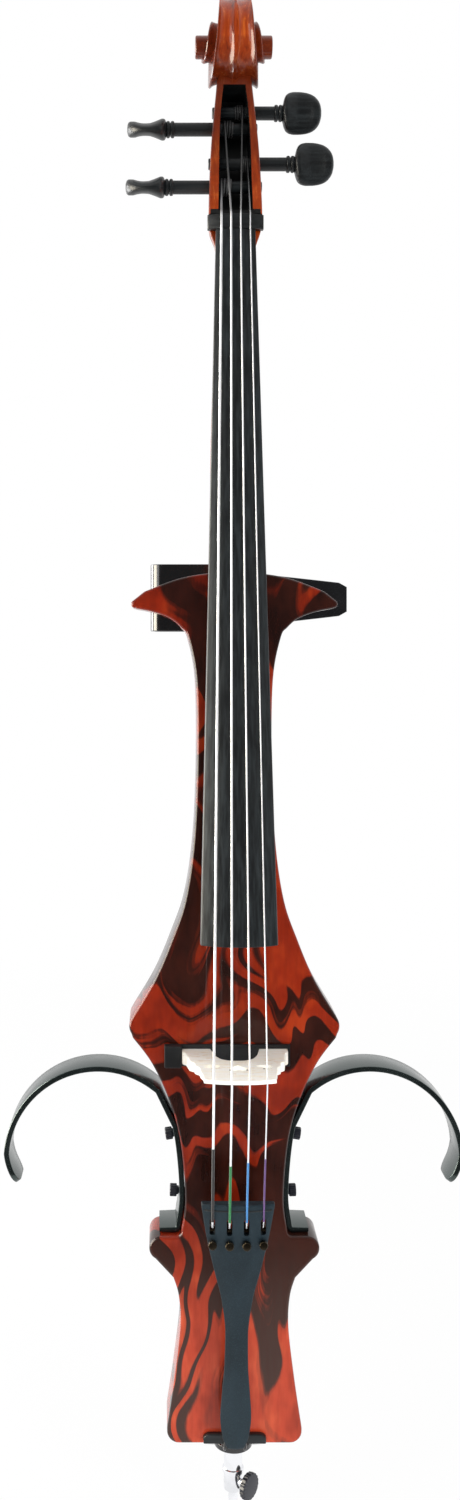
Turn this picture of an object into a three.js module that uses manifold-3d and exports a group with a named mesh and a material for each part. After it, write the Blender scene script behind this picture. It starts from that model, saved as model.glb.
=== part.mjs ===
// Electric cello with a solid body, two knee rests and a chest rest.
// Millimetres. The origin is the tip of the endpin's foot, +Z runs up the instrument to the scroll,
// +X is to the right of someone who faces the strings, and the front looks along -Y.
// The plane Y = 0 is the middle of the body's thickness, where the endpin lies.

import * as THREE from 'three';
import { mergeVertices } from 'three/addons/utils/BufferGeometryUtils.js';
import Module from 'manifold-3d';

const wasm = await Module();
wasm.setup();

// Clearances
const gap = 0.3; // between pieces that touch
const overrun = 2; // how far a cutting solid reaches past what it cuts
const weldTolerance = 0.0001; // corners closer than this are one corner

// Endpin
const footHeight = 24;
const footRadius = 9;
const footTipRadius = 4.5;
const footSocketDepth = 16;
const rodRadius = 4;
const rodShown = 20; // rod between foot and socket when the endpin is pushed in
const rodLength = 372;
const socketRadius = 8;
const socketShown = 38.6; // socket below the flange
const socketInside = 64; // socket in the body
const socketRingRadius = 9.2;
const socketRingHeight = 4;
const socketEdge = 1; // chamfer at the socket's lower end
const clampAngle = 50; // degrees from the front towards +X
const clampNeck = 6.2; // clamp screw between the socket and its head
const clampHeadRadius = 11;
const clampHeadLength = 5;
const flangeNeckRadius = 12;
const flangeNeckHeight = 7.9;
const flangeWidth = 49;
const flangeDepth = 36;
const flangePlate = 4.2;

// Body
const bodyLength = 738.5;
const bodyThickness = 45;
const bodyEdge = 2.6; // rounding of the body's edges
const bottomWidth = 114.4;
const bottomCorner = 10;
const lowerWaistWidth = 91.2;
const earSpan = 144.6;
const earRadius = 10;
const ledgeHeight = 175; // top of the ears above the body's bottom
const ledgeFillet = 5;
const gripWaistWidth = 83.4; // between the knee rests
const widestWidth = 178.6;
const widestHeight = 353.6;
const widestRadius = 12;
const waistWidth = 63.6; // under the fingerboard
const hornSpan = 175.4;
const hornDrop = 26.6; // horn tips below the top of the body
const hornTipRadius = 3.4;

// Strings, from the lowest to the highest
const scaleLength = 688; // string between nut and bridge
const stringNames = ['c', 'g', 'd', 'a'];
const stringRadii = { c: 1, g: 0.85, d: 0.7, a: 0.55 };
const nutSpread = 24;
const bridgeSpread = 42;
const tailSpread = 41.4;
const windingTurns = 3;
const windingGap = 0.6; // between the turns on a peg
const stringLift = 0.35; // string over what it rests on

// Fingerboard and nut
const boardToBridge = 101.4; // free string between the fingerboard's end and the bridge
const fingerboardNutWidth = 33;
const fingerboardEndWidth = 62;
const fingerboardArch = 62; // radius of the playing surface
const fingerboardNutHeight = 20; // playing surface over the body's front, at the nut
const stringAction = 2.9; // strings over the fingerboard's end
const fingerboardNutEdge = 6.3; // thickness of the long edges
const fingerboardEndEdge = 8;
const fingerboardWall = 6.5; // left over the scoop under the free end
const nutThickness = 12.4;
const nutWidth = 47;
const nutRise = 1.4; // nut over the playing surface

// Neck, pegbox and scroll
const neckNutDepth = 20;
const neckHeelDepth = 22;
const neckHeelWidth = 43;
const neckHeelBack = 17; // how far behind the middle of the body the heel reaches
const heelLength = 66;
const tongueLength = 88; // neck on the body's front, under the fingerboard
const pegboxLength = 117.3;
const pegboxNutWidth = 44.8;
const pegboxTopWidth = 30;
const pegboxNutFront = 17.5; // pegbox over the body's front, at the nut
const pegboxTopFront = -1.5;
const pegboxDepth = 38;
const pegboxWall = 8;
const pegboxFloor = 26; // depth of the hollow
const scrollRise = 36; // eye above the pegbox
const scrollBehind = 14.5; // eye behind the body's front
const scrollRadius = 41.5;
const scrollFlute = 2.2;
const scrollTopWidth = 24;
const eyeRadius = 9.5;
const eyeSpan = 66;
const scrollStart = -24; // degrees round the eye from the back: the outer turn, and the inner one
const scrollTurnOver = 330;
const scrollOverlap = 12;
const scrollEnd = 660;

// Pegs
const pegRadius = 5.65;
const pegBodyRadius = 5.2; // where the string winds
const pegTipRadius = 4.8;
const pegDepth = 13.8; // axis behind the pegbox's front edge
const pegHeadLength = 32.6;
const pegHeadHeight = 36.4;
const pegHeadThickness = 18;
const pegRingRadius = 7;
const pegRingWidth = 3;
const pegRingEdge = 1;
const pegTip = 1.5; // small end outside the far wall
const pegs = {
  c: { side: -1, placeShare: 0.243, headStart: 59.7, turn: 70 }, // turn in degrees from upright
  g: { side: -1, placeShare: 0.689, headStart: 58.5, turn: 70 },
  d: { side: 1, placeShare: 0.815, headStart: 42.1, turn: 0 },
  a: { side: 1, placeShare: 0.42, headStart: 51.7, turn: 0 },
};

// Bridge and pickup
const bridgeDrop = 17.6; // bridge's upper face below the widest corners
const bridgeHeight = 90;
const bridgeFootSpan = 89;
const bridgeTopWidth = 57;
const bridgeFootThickness = 12;
const bridgeTopThickness = 3;
const bridgeArch = 66; // radius of the top edge
const bridgeGateWidth = 41;
const bridgeGateHeight = 33;
const pickupThickness = 2.6;
const pickupHeight = 18.6;
const pickupBlockWidth = 15;
const pickupBlockThickness = 8;
const pickupOverhang = 2.4; // beyond the bridge's right foot

// Tailpiece, its fine tuners and the saddle
const tailpieceLength = 220.8;
const tailpieceRise = 4.3; // lower end over the body's bottom
const tailpieceTopWidth = 60;
const tailpieceTopHeight = 57;
const tailpieceEndHeight = 16;
const tailpieceEdge = 7;
const tailpieceCrown = 4;
const slotWidth = 4.6;
const slotLength = 14;
const slotFromTop = 12.5;
const leverWidth = 4;
const leverThickness = 2;
const tunerFromSlot = 7;
const tunerHeadRadius = 3.6;
const tunerHeadHeight = 4.6;
const tunerShankRadius = 1.5;
const saddleWidth = 53;
const saddleHeight = 8;
const saddleThickness = 4.6;
const gutRadius = 1.25;
const gutSpread = 17;

// Knee rests
const kneeThickness = 4.5;
const kneeDepth = 37;
const kneeSetback = 8.5; // front edge behind the body's front
const kneeRadius = 78.4;
const kneeTurn = [131, 8]; // degrees at the arc's start and end
const kneeTuck = 3.8; // how far the arc's circle reaches into the grip
const kneeHookRadius = 50;
const kneeHookTurn = 38; // degrees
const kneeFoot = 16; // length of the foot on the ear
const screwHeadRadius = 5.4;
const screwHeadLength = 6;
const screwNeckRadius = 3.6;
const screwNeckLength = 1.6;
const screwShankRadius = 2.5;
const screwInBody = 12;
const kneeStartShare = 0.6751; // of the grip's height, as are the next three: the arc's start
const kneeLeaveShare = 0.543; // where the strip leaves the body
const kneeScrewShares = [0.1736, 0.487];

// Chest rest
const chestHeight = 59;
const chestThickness = 3.5;
const chestDrop = 19.5; // middle of the rest below the body's top
const chestLeft = 71.5;
const chestRight = 107;
const chestFrontEnd = 24;
const chestDepth = 39; // between the middles of its two legs
const chestBend = 9;
const chestEndHeight = 30;
const chestCorner = 5;
const chestScrewPlaces = [-14, 10];

// Control plate, cavity and what is in it
const cavityRise = 3.4; // centre above the widest corners
const cavityWidth = 104;
const cavityHeight = 62;
const cavityDepth = 32;
const cavityCorner = 6;
const batteryWall = 2;
const batteryCorner = 1; // rounding of the battery's pocket
const batteryWidth = 26.5;
const batteryHeight = 48.5;
const batteryThickness = 17.5;
const clipHeight = 5.5;
const plateMargin = 9;
const plateThickness = 1.6;
const doorMargin = 3;
const doorThickness = 2;
const knobRadius = 9;
const knobLength = 12;
const potRadius = 8;
const potLength = 8;
const potMargin = 4; // pot to the cavity's wall
const potBushRadius = 3.5;
const potShaftRadius = 3;
const jackRadius = 5.5;
const jackBore = 3.35;
const jackFlangeRadius = 8;
const jackFlange = 2.5;
const jackLength = 21;
const jackMargin = 8; // jack's flange to the wall beside the battery
const switchTravel = 4;
const switchLever = 3.6;
const switchBodyDepth = 8;
const boardThickness = 1.6;
const boardFoot = 3;
const boltHeadRadius = 5;
const boltHeadLength = 4;
const boltInNeck = 12;
const plateScrewRadius = 1.5;
const plateScrewHead = 3;
const plateScrewLength = 9;

// Places that follow from the sizes
const bodyBottom = footHeight + rodShown + socketShown + flangePlate + flangeNeckHeight + gap;
const bodyTop = bodyBottom + bodyLength;
const frontY = -bodyThickness / 2;
const backY = bodyThickness / 2;
const hornHeight = bodyLength - hornDrop;
const bridgeZ = bodyBottom + widestHeight - bridgeDrop;
const nutZ = bridgeZ + scaleLength;
const pegboxZ = nutZ + nutThickness + gap;
const pegboxTopZ = pegboxZ + pegboxLength;
const scrollZ = pegboxTopZ + scrollRise;
const scrollY = frontY + scrollBehind;
const fingerboardLength = scaleLength - boardToBridge;


const degrees = THREE.MathUtils.degToRad;
const lerp = THREE.MathUtils.lerp;
const fingerboardEndHeight = lerp(
  fingerboardNutHeight + nutRise, bridgeHeight, fingerboardLength / scaleLength,
) - stringAction;
const v2 = (x, y) => new THREE.Vector2(x, y);
const v3 = (x, y, z) => new THREE.Vector3(x, y, z);

// Finishes

const finish = (color, roughness, metalness) => (
  new THREE.MeshStandardMaterial({ color, roughness, metalness })
);
const bodyVarnish = finish('#8f2a12', 0.2, 0);
const neckVarnish = finish('#b5521c', 0.25, 0);
const ebony = finish('#23262a', 0.45, 0);
const bridgeMaple = finish('#ecd9ae', 0.6, 0);
const blackComposite = finish('#2c3338', 0.5, 0);
const blackSteel = finish('#15171a', 0.25, 0.6);
const chrome = finish('#d8dbe0', 0.12, 1);
const stringSteel = finish('#e4e6ea', 0.25, 1);
const darkBrass = finish('#4b4236', 0.35, 1);
const blackPlastic = finish('#17181a', 0.5, 0);
const rubber = finish('#141414', 0.85, 0);
const gutCord = finish('#1b1b1d', 0.6, 0);
const cellSteel = finish('#5b6066', 0.4, 0.6);
const board = finish('#1d5a34', 0.5, 0);

// Shape helpers

const areaOf = (section) => THREE.ShapeUtils.area(section);

function signedVolume(positions, indices) {
  let sum = 0;
  const corner = (i) => v3(positions[3 * i], positions[3 * i + 1], positions[3 * i + 2]);
  for (let i = 0; i < indices.length; i += 3) {
    const a = corner(indices[i]);
    sum += a.dot(corner(indices[i + 1]).cross(corner(indices[i + 2])));
  }
  return sum;
}

// A closed solid through matching rows of points; place puts a row's flat point in space.
function loft(sections, place) {
  const rows = areaOf(sections[0]) < 0 ? sections.map((row) => [...row].reverse()) : sections;
  const count = rows[0].length;
  const positions = rows.flatMap((row, n) => row.flatMap((point) => place(point, n).toArray()));
  const indices = [];
  for (let n = 0; n + 1 < rows.length; n++) {
    for (let i = 0; i < count; i++) {
      const a = n * count + i;
      const b = n * count + ((i + 1) % count);
      indices.push(a, b, b + count, a, b + count, a + count);
    }
  }
  const last = (rows.length - 1) * count;
  for (const [a, b, c] of THREE.ShapeUtils.triangulateShape(rows[0], [])) {
    indices.push(a, c, b);
  }
  for (const [a, b, c] of THREE.ShapeUtils.triangulateShape(rows[rows.length - 1], [])) {
    indices.push(last + a, last + b, last + c);
  }
  if (signedVolume(positions, indices) < 0) {
    indices.reverse();
  }
  const geometry = new THREE.BufferGeometry();
  geometry.setAttribute('position', new THREE.Float32BufferAttribute(positions, 3));
  geometry.setIndex(indices);
  return geometry;
}

function solid(geometry) {
  const bare = geometry.clone();
  bare.deleteAttribute('normal');
  bare.deleteAttribute('uv');
  const merged = mergeVertices(bare, weldTolerance);
  return new wasm.Manifold(new wasm.Mesh({
    numProp: 3,
    vertProperties: new Float32Array(merged.attributes.position.array),
    triVerts: new Uint32Array(merged.index.array),
  }));
}

function geometryOf(manifold) {
  const mesh = manifold.getMesh();
  const geometry = new THREE.BufferGeometry();
  geometry.setAttribute('position', new THREE.Float32BufferAttribute(mesh.vertProperties, 3));
  geometry.setIndex([...mesh.triVerts]);
  return geometry;
}

const cut = (geometry, ...tools) => geometryOf(
  tools.reduce((left, tool) => left.subtract(solid(tool)), solid(geometry)),
);
const join = (geometry, ...others) => geometryOf(
  others.reduce((whole, other) => whole.add(solid(other)), solid(geometry)),
);
const keepInside = (geometry, limit) => geometryOf(solid(geometry).intersect(solid(limit)));

function shapeOf(points) {
  const shape = new THREE.Shape();
  shape.setFromPoints(points);
  return shape;
}

// A flat shape drawn in X and Z, made solid from Y = front to Y = back.
function panel(shape, front, back, edge = 0) {
  const geometry = new THREE.ExtrudeGeometry(shape, {
    depth: back - front - 2 * edge,
    bevelEnabled: edge > 0,
    bevelThickness: edge,
    bevelSize: edge,
    bevelOffset: -edge,
    bevelSegments: 1,
    curveSegments: 4,
  });
  geometry.rotateX(Math.PI / 2);
  return geometry.translate(0, back - edge, 0);
}

function block(low, high) {
  const size = high.clone().sub(low);
  const middle = low.clone().add(high).multiplyScalar(0.5);
  return new THREE.BoxGeometry(size.x, size.y, size.z).translate(middle.x, middle.y, middle.z);
}

function turnTowards(geometry, direction) {
  const turn = new THREE.Quaternion().setFromUnitVectors(v3(0, 1, 0), direction.clone().normalize());
  return geometry.applyQuaternion(turn);
}

function rod(from, to, radius, sides = 14) {
  const along = to.clone().sub(from);
  const geometry = new THREE.CylinderGeometry(radius, radius, along.length(), sides);
  const middle = from.clone().add(to).multiplyScalar(0.5);
  return turnTowards(geometry, along).translate(middle.x, middle.y, middle.z);
}

// A turned solid about +Y, from pairs of radius and height that start and end on the axis.
function turned(profile, sides = 16) {
  return new THREE.LatheGeometry(profile.map(([radius, height]) => v2(radius, height)), sides);
}

function roundedRectangle(width, height, radius, centre = v2(0, 0)) {
  const shape = new THREE.Shape();
  const x = width / 2 - radius;
  const y = height / 2 - radius;
  shape.absarc(centre.x + x, centre.y + y, radius, 0, Math.PI / 2);
  shape.absarc(centre.x - x, centre.y + y, radius, Math.PI / 2, Math.PI);
  shape.absarc(centre.x - x, centre.y - y, radius, Math.PI, 1.5 * Math.PI);
  shape.absarc(centre.x + x, centre.y - y, radius, 1.5 * Math.PI, 2 * Math.PI);
  return shape;
}

function arcPoints(centre, radius, from, to, steps) {
  return new THREE.EllipseCurve(
    centre.x, centre.y, radius, radius, degrees(from), degrees(to), to < from,
  ).getPoints(steps);
}

function withoutRepeats(points) {
  return points.filter((point, n) => n === 0 || point.distanceTo(points[n - 1]) > gap / 10);
}

// A round cord along a list of points, as one closed tube.
function tube(points, radius, sides = 6) {
  const tangents = points.map((point, n) => {
    const before = points[Math.max(n - 1, 0)];
    const after = points[Math.min(n + 1, points.length - 1)];
    return after.clone().sub(before).normalize();
  });
  const aside = v3(1, 0.3, 0.2);
  let normal = aside.cross(tangents[0]).normalize();
  const frames = tangents.map((tangent) => {
    normal = normal.clone().sub(tangent.clone().multiplyScalar(normal.dot(tangent))).normalize();
    return { normal, binormal: tangent.clone().cross(normal) };
  });
  const ring = Array.from({ length: sides }, (_, i) => {
    const angle = (2 * Math.PI * i) / sides;
    return v2(radius * Math.cos(angle), radius * Math.sin(angle));
  });
  return loft(points.map(() => ring), (point, n) => points[n].clone()
    .addScaledVector(frames[n].normal, point.x)
    .addScaledVector(frames[n].binormal, point.y));
}

// A flat strip of even thickness along a path, as an outline.
function stripOutline(path, thickness) {
  const sides = [1, -1].map((side) => path.map((point, n) => {
    const before = path[Math.max(n - 1, 0)];
    const after = path[Math.min(n + 1, path.length - 1)];
    const along = after.clone().sub(before).normalize();
    return v2(point.x - side * along.y * thickness / 2, point.y + side * along.x * thickness / 2);
  }));
  return [...sides[0], ...sides[1].reverse()];
}

const assembly = new THREE.Group();

function add(name, geometry, material, parent = assembly) {
  const mesh = new THREE.Mesh(geometry, material);
  mesh.name = name;
  parent.add(mesh);
  return mesh;
}

// Body outline: half of it, from the middle of the bottom to the middle of the top, in X and in
// height above the body's bottom.

const widestTurn = [-33, 31]; // degrees of the arc at the widest corner, and at the horn tip
const hornTipTurn = [-96, 56];
const widestLow = widestHeight + widestRadius * Math.sin(degrees(widestTurn[0]));
const widestHigh = widestHeight + widestRadius * Math.sin(degrees(widestTurn[1]));
const hornTipLow = hornHeight + hornTipRadius * Math.sin(degrees(hornTipTurn[0]));
const gripEdgeShares = [ // out from the grip waist to the widest corner, and up from the ledge to its arc
  [0.066, 0.0343], [0, 0.192], [0.092, 0.4795], [0.304, 0.682], [0.6, 0.8564], [0.935, 0.9799],
];
const gripPoints = new THREE.SplineCurve(gripEdgeShares.map(([out, up]) => v2(
  lerp(gripWaistWidth, widestWidth, out) / 2,
  lerp(ledgeHeight, widestLow, up),
))).getPoints(14);

const lowerEdgeShares = [ // out from the lower waist to the bottom's half width, and up to the ledge
  [1, 0.07], [0.46, 0.309], [0.03, 0.56], [0.14, 0.71], [0.53, 0.8],
];
const upperEdgeShares = [ // out from the waist to the widest corner, and up from its arc to the tip's
  [0.971, 0.0008], [0.626, 0.0963], [0.376, 0.1929], [0.176, 0.2905], [0.05, 0.4364], [0, 0.6316],
  [0.017, 0.8248],
];
const hornEdgeShares = [ // out from the waist to the horn tip, and up likewise
  [0.136, 0.9275], [0.235, 0.9522], [0.4, 0.9743], [0.66, 0.9902], [0.93, 0.9989],
];
const hornTopShares = [ // out to the horn tip, and up from its centre to the body's top
  [0.87, 0.4], [0.56, 0.79], [0.285, 0.965],
];

function bodyHalfOutline() {
  const halves = { bottom: bottomWidth / 2, low: lowerWaistWidth / 2, waist: waistWidth / 2 };
  const corner = v2(halves.bottom - bottomCorner, bottomCorner);
  const earCentre = v2(earSpan / 2 - earRadius, ledgeHeight - earRadius);
  const widestCentre = v2(widestWidth / 2 - widestRadius, widestHeight);
  const tipCentre = v2(hornSpan / 2 - hornTipRadius, hornHeight);
  const rise = (share) => lerp(widestHigh, hornTipLow, share);
  const filletCentre = v2(gripPoints[0].x + ledgeFillet, ledgeHeight + ledgeFillet);
  const filletTurn = [270, 200];
  const lowerEdge = lowerEdgeShares.map(([out, up]) => v2(
    lerp(halves.low, halves.bottom, out), ledgeHeight * up,
  ));
  const sideEdge = upperEdgeShares.map(([out, up]) => v2(
    lerp(halves.waist, widestWidth / 2, out), rise(up),
  ));
  const hornEdge = hornEdgeShares.map(([out, up]) => v2(lerp(halves.waist, hornSpan / 2, out), rise(up)));
  const hornTop = hornTopShares.map(([out, up]) => v2(out * hornSpan / 2, lerp(hornHeight, bodyLength, up)));
  return withoutRepeats([
    v2(0, 0),
    ...arcPoints(corner, bottomCorner, -90, -8, 4),
    ...new THREE.SplineCurve(lowerEdge).getPoints(10),
    ...arcPoints(earCentre, earRadius, -62, 90, 6),
    ...arcPoints(filletCentre, ledgeFillet, ...filletTurn, 2),
    ...gripPoints,
    ...arcPoints(widestCentre, widestRadius, ...widestTurn, 4),
    ...new THREE.SplineCurve([...sideEdge, ...hornEdge]).getPoints(22),
    ...arcPoints(tipCentre, hornTipRadius, ...hornTipTurn, 4),
    ...new THREE.SplineCurve([...hornTop, v2(0, bodyLength)]).getPoints(7),
  ]);
}

function bodyOutline() {
  const right = bodyHalfOutline();
  const left = right.slice(1, -1).reverse().map((point) => v2(-point.x, point.y));
  return [...right, ...left].map((point) => v2(point.x, point.y + bodyBottom));
}

// Knee rest path on the right side: up beside the body, round the arc and down to the hook.

const kneeOffset = gap + kneeThickness / 2;
const gripHeight = (share) => lerp(ledgeHeight, widestHeight, share);
const kneeCentre = v2(
  gripWaistWidth / 2 + kneeRadius - kneeTuck,
  gripHeight(kneeStartShare) - kneeRadius * Math.sin(degrees(kneeTurn[0])),
);
const kneeScrewHeights = kneeScrewShares.map(gripHeight);

// The flat stretch of the grip edge at a height: its middle and the way out of the body.
function gripPlace(height) {
  const n = gripPoints.findIndex((point) => point.y >= height);
  const along = gripPoints[n].clone().sub(gripPoints[n - 1]).normalize();
  return { point: gripPoints[n].clone().lerp(gripPoints[n - 1], 0.5), out: v2(along.y, -along.x) };
}

function kneePath() {
  const footTop = ledgeHeight + gap + kneeThickness / 2;
  const start = ledgeHeight + ledgeFillet + kneeThickness;
  const beside = gripPoints.flatMap((point, n) => {
    if (point.y < start || point.y > gripHeight(kneeLeaveShare)) {
      return [];
    }
    const along = gripPoints[n + 1].clone().sub(gripPoints[n - 1]).normalize();
    return [v2(point.x + along.y * kneeOffset, point.y - along.x * kneeOffset)];
  });
  const arc = arcPoints(kneeCentre, kneeRadius, ...kneeTurn, 14);
  const rise = kneeRadius * Math.sin(degrees(kneeTurn[1]));
  const hookCentre = v2(kneeCentre.x + kneeRadius - kneeHookRadius, kneeCentre.y + rise);
  const hook = arcPoints(hookCentre, kneeHookRadius, -6, -kneeHookTurn, 4);
  const corner = v2(gripPoints[0].x + kneeOffset + gap, footTop);
  const foot = [v2(corner.x + kneeFoot, footTop), corner.clone().add(v2(kneeThickness / 2, 0))];
  const bend = corner.clone().add(v2(gap, kneeThickness / 2));
  return [...foot, bend, ...beside, ...arc, ...hook].map((point) => v2(point.x, point.y + bodyBottom));
}

const kneeFront = frontY + kneeSetback;
const kneeMiddle = kneeFront + kneeDepth / 2;

function kneeScrewPlace(height, side) {
  const { point, out } = gripPlace(height);
  return {
    seat: v3(side * point.x, kneeMiddle, point.y + bodyBottom),
    out: v3(side * out.x, 0, out.y),
  };
}

const kneeScrewHole = (height, side) => {
  const { seat, out } = kneeScrewPlace(height, side);
  const inner = seat.clone().addScaledVector(out, -screwInBody - gap);
  const outer = seat.clone().addScaledVector(out, kneeThickness + overrun);
  return rod(inner, outer, screwShankRadius + gap, 12);
};

// Control cavity at the back, and the places of what it holds

const cavityZ = bodyBottom + widestHeight + cavityRise;
const batteryPocketWidth = batteryWidth + 4 * gap;
const batteryPocketDepth = batteryThickness + 2 * gap + plateThickness;
const batteryX = cavityWidth / 2 - batteryPocketWidth / 2;
const mainPocketWidth = cavityWidth - batteryPocketWidth - batteryWall;
const mainPocketX = -cavityWidth / 2 + mainPocketWidth / 2;
const batteryPocketHeight = batteryHeight + clipHeight + 4 * gap;
const plateWidth = cavityWidth + 2 * plateMargin;
const plateHeight = cavityHeight + 2 * plateMargin;
const plateFront = backY + gap;
const plateBack = plateFront + plateThickness;
const knobX = mainPocketX - mainPocketWidth / 2 + potRadius + potMargin;
const knobPlaces = { volume: cavityZ + cavityHeight / 4, tone: cavityZ - cavityHeight / 4 };
const jackX = mainPocketX + mainPocketWidth / 2 - jackFlangeRadius - jackMargin;
const jackZ = cavityZ - cavityHeight / 8;
const switchX = jackX;
const switchZ = cavityZ + cavityHeight / 3;
const plateScrewX = cavityWidth / 2 + plateMargin / 2;
const plateScrewZ = cavityHeight / 2 + plateMargin / 2;
const corners = [[-1, 1], [1, 1], [-1, -1], [1, -1]];

const tongueZ = bodyTop - tongueLength;
const boltX = neckHeelWidth / 4;
const boltZ = [tongueZ + tongueLength / 8, tongueZ + tongueLength / 2.6];
const bolts = boltZ.flatMap((z) => [-1, 1].map((side) => v2(side * boltX, z)));
const chestZ = bodyTop - chestDrop;
const chestScrews = chestScrewPlaces.map((x) => v2(x, chestZ));
const chestScrewInBody = screwInBody;

const alongY = (x, z, from, to, radius, sides = 12) => rod(v3(x, from, z), v3(x, to, z), radius, sides);

function pocket(width, height, x, depth, corner) {
  const shape = roundedRectangle(width, height, corner, v2(x, cavityZ));
  return panel(shape, backY - depth, backY + overrun);
}

function makeBody() {
  const blank = panel(shapeOf(bodyOutline()), frontY, backY, bodyEdge);
  const boreTop = footHeight - footSocketDepth + rodLength + rodRadius;
  const plugBore = rod(
    v3(0, 0, bodyBottom - overrun), v3(0, 0, bodyBottom + socketInside + gap), socketRadius + gap, 20,
  );
  const rodBore = rod(v3(0, 0, bodyBottom), v3(0, 0, boreTop), rodRadius + 2 * gap);
  const plateHoles = corners.map(([x, z]) => alongY(
    x * plateScrewX, cavityZ + z * plateScrewZ, backY - plateScrewLength - gap, backY + overrun,
    plateScrewRadius + gap, 8,
  ));
  const boltHoles = bolts.flatMap(({ x, y }) => [
    alongY(x, y, frontY - overrun, backY, screwShankRadius + gap, 10),
    alongY(x, y, backY - boltHeadLength - gap, backY + overrun, boltHeadRadius + gap, 16),
  ]);
  const chestHoles = chestScrews.map(({ x, y }) => alongY(
    x, y, backY - chestScrewInBody - gap, backY + overrun, screwShankRadius + gap, 10,
  ));
  const kneeHoles = kneeScrewHeights.flatMap((height) => [-1, 1].map((side) => kneeScrewHole(height, side)));
  return cut(
    blank,
    plugBore,
    rodBore,
    pocket(mainPocketWidth, cavityHeight, mainPocketX, cavityDepth, cavityCorner),
    pocket(batteryPocketWidth, batteryPocketHeight, batteryX, batteryPocketDepth, batteryCorner),
    ...plateHoles,
    ...boltHoles,
    ...chestHoles,
    ...kneeHoles,
  );
}

add('body', makeBody(), bodyVarnish);

// Lines along the instrument: the playing surface, the fingerboard's underside and the pegbox's front

const fingerboardZ = nutZ - fingerboardLength;
const surfaceY = (z) => frontY - lerp(
  fingerboardNutHeight, fingerboardEndHeight, (nutZ - z) / fingerboardLength,
);
const boardHalf = (z) => lerp(fingerboardNutWidth, fingerboardEndWidth, (nutZ - z) / fingerboardLength) / 2;
const arch = (x, radius) => radius - Math.sqrt(radius * radius - x * x);
const boardDepth = (width, edge) => arch(width / 2, fingerboardArch) + edge;
const undersideY = (z) => surfaceY(z) + lerp(
  boardDepth(fingerboardNutWidth, fingerboardNutEdge),
  boardDepth(fingerboardEndWidth, fingerboardEndEdge),
  (nutZ - z) / fingerboardLength,
);
const neckTopY = (z) => undersideY(z) + gap;
const pegboxWidthShares = [[0, 0], [0.24, 0.1], [0.5, 0.3], [0.75, 0.62], [0.9, 0.85], [1, 1]];
const pegboxFrontY = (z) => frontY - lerp(pegboxNutFront, pegboxTopFront, (z - pegboxZ) / pegboxLength);

// The value at a share, between the pairs of share and value in a table.
function tableValue(table, share) {
  const found = table.findIndex(([place]) => place >= share);
  const n = found < 0 ? table.length - 1 : Math.max(found, 1);
  const [before, low] = table[n - 1];
  const [after, high] = table[n];
  return lerp(low, high, (share - before) / (after - before));
}

const boxHalfAt = (share) => lerp(pegboxNutWidth, pegboxTopWidth, tableValue(pegboxWidthShares, share)) / 2;

// Neck, pegbox and scroll: one piece of maple

// Half of a neck section is flat at the front and rounds off at the back.
function neckSection(half, front, back, squareness) {
  const side = lerp(front, back, 0.25);
  const steps = 10;
  const round = Array.from({ length: steps + 1 }, (_, n) => {
    const angle = (Math.PI * n) / steps;
    const x = Math.sign(Math.cos(angle)) * Math.abs(Math.cos(angle)) ** (2 / squareness) * half;
    const y = side + (back - side) * Math.abs(Math.sin(angle)) ** (2 / squareness);
    return v2(x, y);
  });
  return [v2(half, front), ...round, v2(-half, front)];
}

function neckBlank() {
  const heelZ = bodyTop + gap;
  const nutHalf = fingerboardNutWidth / 2 - gap;
  const heelHalf = neckHeelWidth / 2;
  const shaftZ = heelZ + heelLength;
  const shaftShare = (z) => (z - shaftZ) / (nutZ - shaftZ);
  const shaft = (z) => ({
    z,
    half: lerp(boardHalf(shaftZ) - gap, nutHalf, shaftShare(z)),
    front: neckTopY(z),
    back: neckTopY(z) + lerp(neckHeelDepth, neckNutDepth, shaftShare(z)),
    square: 2.3,
  });
  const heelBackShares = [[0, 1], [0.12, 0.86], [0.27, 0.56], [0.43, 0.26], [0.62, 0.08], [0.8, 0.01]];
  const heel = heelBackShares.map(([up, back]) => {
    const z = heelZ + up * heelLength;
    return {
      z,
      half: lerp(heelHalf, boardHalf(shaftZ) - gap, up),
      front: neckTopY(z),
      back: lerp(neckTopY(z) + neckHeelDepth, neckHeelBack, back),
      square: lerp(3.4, 2.3, up),
    };
  });
  const box = (up, back, half = boxHalfAt(up)) => {
    const z = pegboxZ + up * pegboxLength;
    return { z, half, front: pegboxFrontY(z), back: pegboxFrontY(z) + pegboxDepth * back, square: 4.5 };
  };
  const topHalf = pegboxTopWidth / 2;
  const shoulder = (down, wide, back, squareness) => {
    const z = nutZ - down * nutThickness;
    const half = lerp(nutHalf, pegboxNutWidth / 2, wide);
    return { z, half, front: neckTopY(z), back: neckTopY(z) + neckNutDepth * back, square: squareness };
  };
  const stations = [
    ...heel,
    shaft(shaftZ),
    shaft(lerp(shaftZ, nutZ, 0.5)),
    shaft(nutZ - 2.4 * nutThickness),
    shoulder(1.3, 0.08, 1.01, 2.5),
    shoulder(0.6, 0.42, 1.12, 3),
    shoulder(0, 0.84, 1.3, 3.4),
    shoulder(-1, 1, 1.56, 4),
    box(0.004, 0.97),
    box(0.24, 1.09),
    box(0.5, 1.09),
    box(0.75, 1.04),
    box(0.9, 1),
    box(1, 1.02),
    box(1.16, 1.08, lerp(topHalf, scrollTopWidth / 2, 0.5)),
    box(1.31, 1.13, scrollTopWidth / 2),
  ];
  return loft(
    stations.map(({ half, front, back, square }) => neckSection(half, front, back, square)),
    (point, n) => v3(point.x, point.y, stations[n].z),
  );
}

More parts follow.
